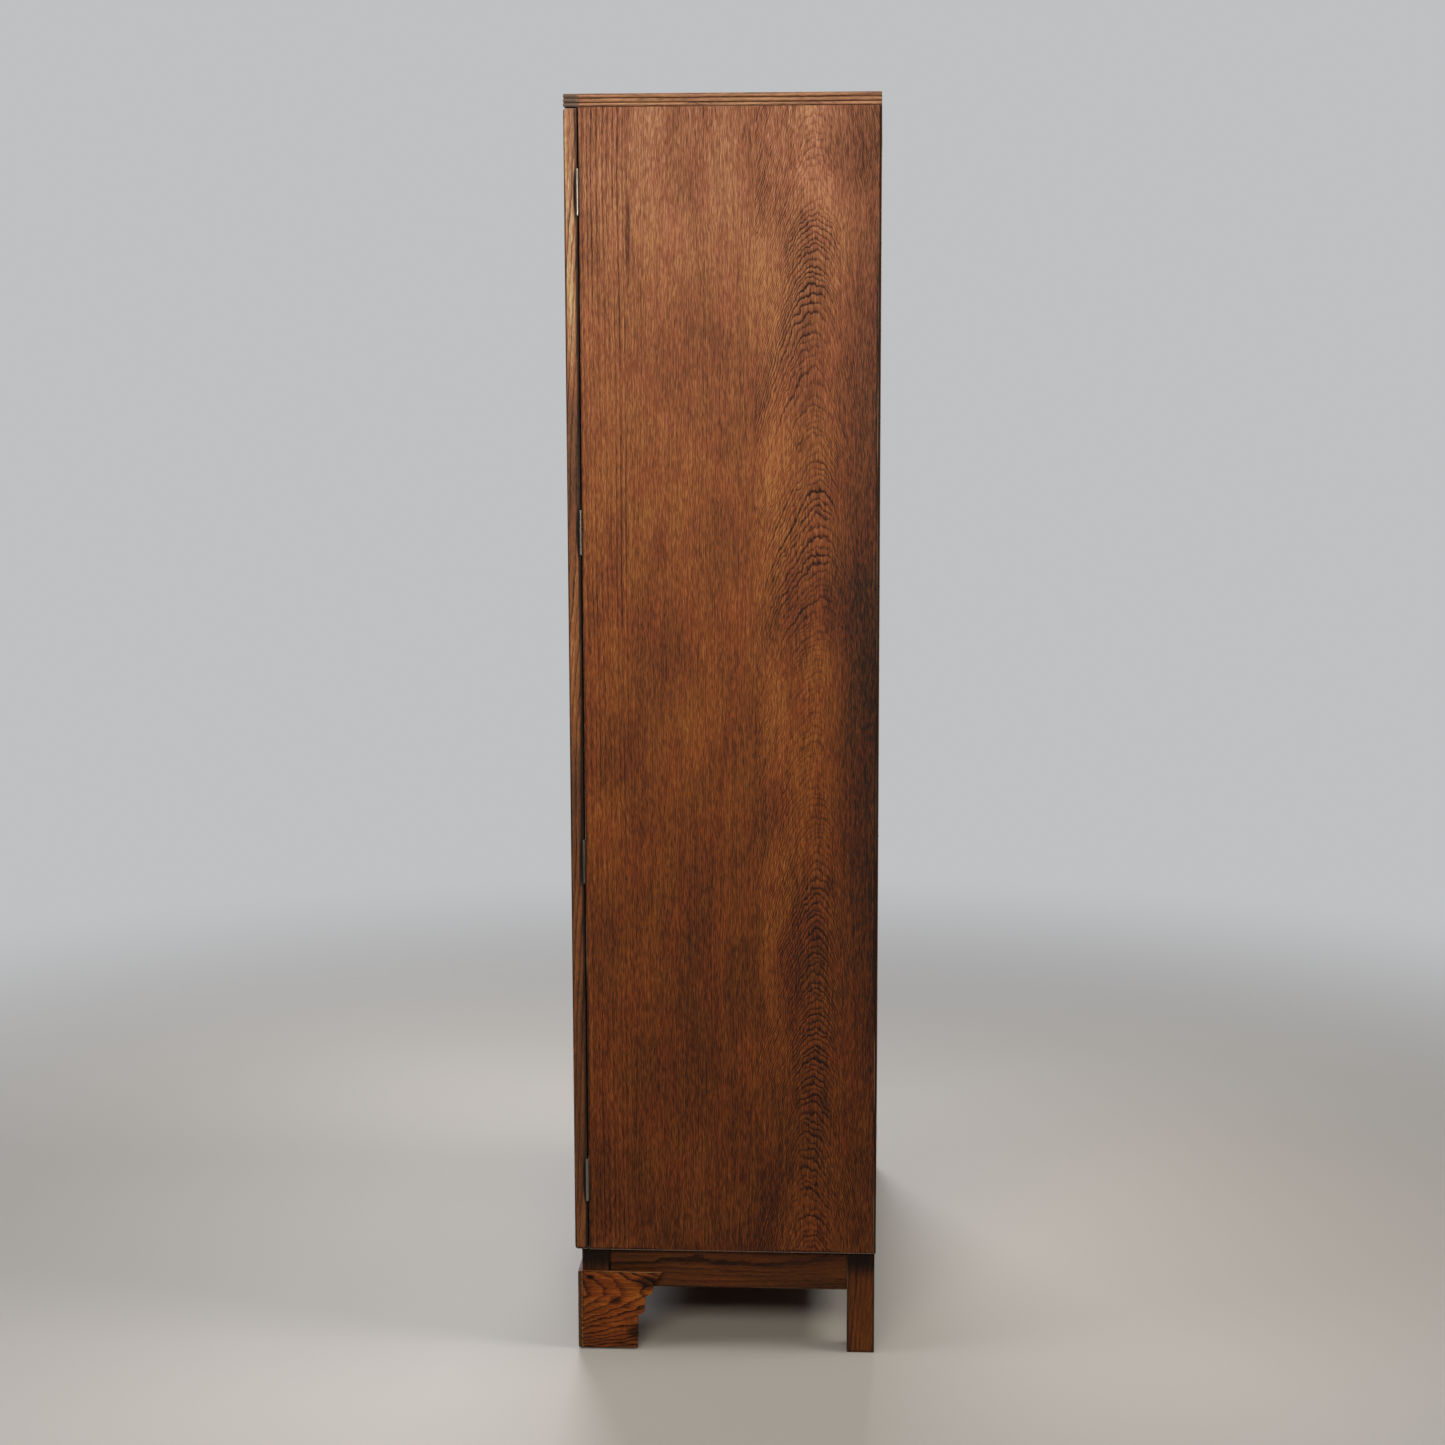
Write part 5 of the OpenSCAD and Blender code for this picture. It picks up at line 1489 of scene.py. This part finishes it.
@dataclass
class Studio:
    """Pale floor, soft lamps, pale surroundings and the camera.

    Lengths are in metres, the lens and sensor in millimetres, angles in degrees. The surroundings glow
    from floor to ceiling between two rises, which are heights over the horizon on a sphere of radius 1.
    """

    floor_size: float = 60.0
    wall: str = "#bfc0c2"
    floor_glow: float = 0.05
    ceiling_glow: float = 0.2
    glow_rises: tuple[float, float] = (-0.1, 0.7)
    sky: float = 0.55
    sky_spread: float = 75.0
    eye: Point = (4.231, 0.235, 1.465)
    turn: float = 3.39
    tilt: float = 8.07
    roll: float = -0.16
    lens: float = 67.27
    sensor: float = 36.0
    lamps: tuple[SoftLamp, ...] = (
        SoftLamp("key", (4.3, -0.25, 2.7), (0.45, 0.0, 1.72), (3.0, 1.3), 54.0, "#fff4e2", 70.0),
        SoftLamp("fill", (1.3, -3.9, 3.7), (0.0, 0.0, 0.9), (2.4, 1.8), 90.0, "#f6f7ff"),
        SoftLamp("rear", (0.6, 3.4, 4.4), (0.2, 0.0, 1.2), (2.2, 2.0), 27.0, "#fff9f0", 60.0),
        SoftLamp("left", (-4.2, -0.6, 2.9), (0.0, 0.0, 1.4), (2.2, 2.0), 50.0, "#f7f8ff", 70.0),
    )

    def build(self) -> None:
        """Sets the stage."""
        self.floor()
        self.surroundings()
        self.overhead()
        for lamp in self.lamps:
            lamp.build()
        self.camera()
        bpy.context.scene.view_settings.view_transform = "Standard"

    def floor(self) -> None:
        """Lays the floor under the object."""
        half = self.floor_size / 2
        corners = [(x * half, y * half, 0.0) for x, y in ((-1, -1), (1, -1), (1, 1), (-1, 1))]
        mesh = bpy.data.meshes.new("floor")
        mesh.from_pydata(corners, [], [(0, 1, 2, 3)])
        floor = bpy.data.objects.new("floor", mesh)
        bpy.context.scene.collection.objects.link(floor)
        wear_material(floor, PaintedFloor().build())

    def overhead(self) -> None:
        """Lights everything evenly from straight above, as a large white ceiling does."""
        data = bpy.data.lights.new("overhead", "SUN")
        data.energy = self.sky
        data.angle = math.radians(self.sky_spread)
        bpy.context.scene.collection.objects.link(bpy.data.objects.new("overhead", data))

    def surroundings(self) -> None:
        """Makes pale surroundings, dimmer as a light than they look, so that the lamps shape the object."""
        world = bpy.data.worlds.new("surroundings")
        world.use_nodes = True
        tree = world.node_tree
        tree.nodes.clear()
        wall = linear(self.wall)
        way = add_node(tree, "TexCoord", out="Generated")
        rise = add_node(tree, "SeparateXYZ", (way,), out=2)
        glow = add_node(tree, "MapRange", (rise, *self.glow_rises, self.floor_glow, self.ceiling_glow),
                        **SMOOTH)
        rays = add_node(tree, "LightPath").node.outputs
        seen = add_node(tree, "Math", (rays["Is Camera Ray"], rays["Is Transmission Ray"]),
                        operation="MAXIMUM")
        soft = add_node(tree, "Background", (wall, glow))
        plain = add_node(tree, "Background", (wall, 1.0))
        both = add_node(tree, "MixShader", (seen, soft, plain))
        add_node(tree, "OutputWorld", (both,))
        bpy.context.scene.world = world

    def camera(self) -> None:
        """Puts the camera level with the object's upper half, looking at its right side and a little down."""
        turn, tilt, roll = (math.radians(a) for a in (self.turn, self.tilt, self.roll))
        ahead = Vector((-math.cos(turn) * math.cos(tilt), -math.sin(turn) * math.cos(tilt), -math.sin(tilt)))
        right = ahead.cross(Vector((0, 0, 1))).normalized()
        up = right.cross(ahead)
        rolled_right = math.cos(roll) * right + math.sin(roll) * up
        rolled_up = math.cos(roll) * up - math.sin(roll) * right
        data = bpy.data.cameras.new("camera")
        data.lens = self.lens
        data.sensor_width = self.sensor
        camera = bpy.data.objects.new("camera", data)
        axes = Matrix((rolled_right, rolled_up, -ahead)).transposed().to_4x4()
        camera.matrix_world = Matrix.Translation(self.eye) @ axes
        bpy.context.scene.collection.objects.link(camera)
        bpy.context.scene.camera = camera


BRASS_MATERIAL = BRASS.build()
STEEL_MATERIAL = STEEL.build()
BROWN_STEEL_MATERIAL = BROWN_STEEL.build()
GLASS_MATERIAL = DrawnGlass().build()


def looks() -> dict[str, str]:
    """Names the material that each mesh wears."""
    return {obj.name: obj.data.materials[0].name for obj in bpy.data.objects if obj.type == "MESH"}


def main() -> None:
    """Builds the sub-assemblies and the studio in order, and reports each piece."""
    logging.basicConfig(level=logging.INFO, format="%(name)s: %(message)s")
    for part in (Case(), Stand(), Door("right"), Door("left"), Lock(), BarrelBolts(), Studio()):
        before = looks()
        part.build()
        LOG.info("built %s", type(part).__name__)
        for piece, finish in sorted(looks().items() - before.items()):
            LOG.info("%s wears %s", piece, finish)


if __name__ == "__main__":
    main()
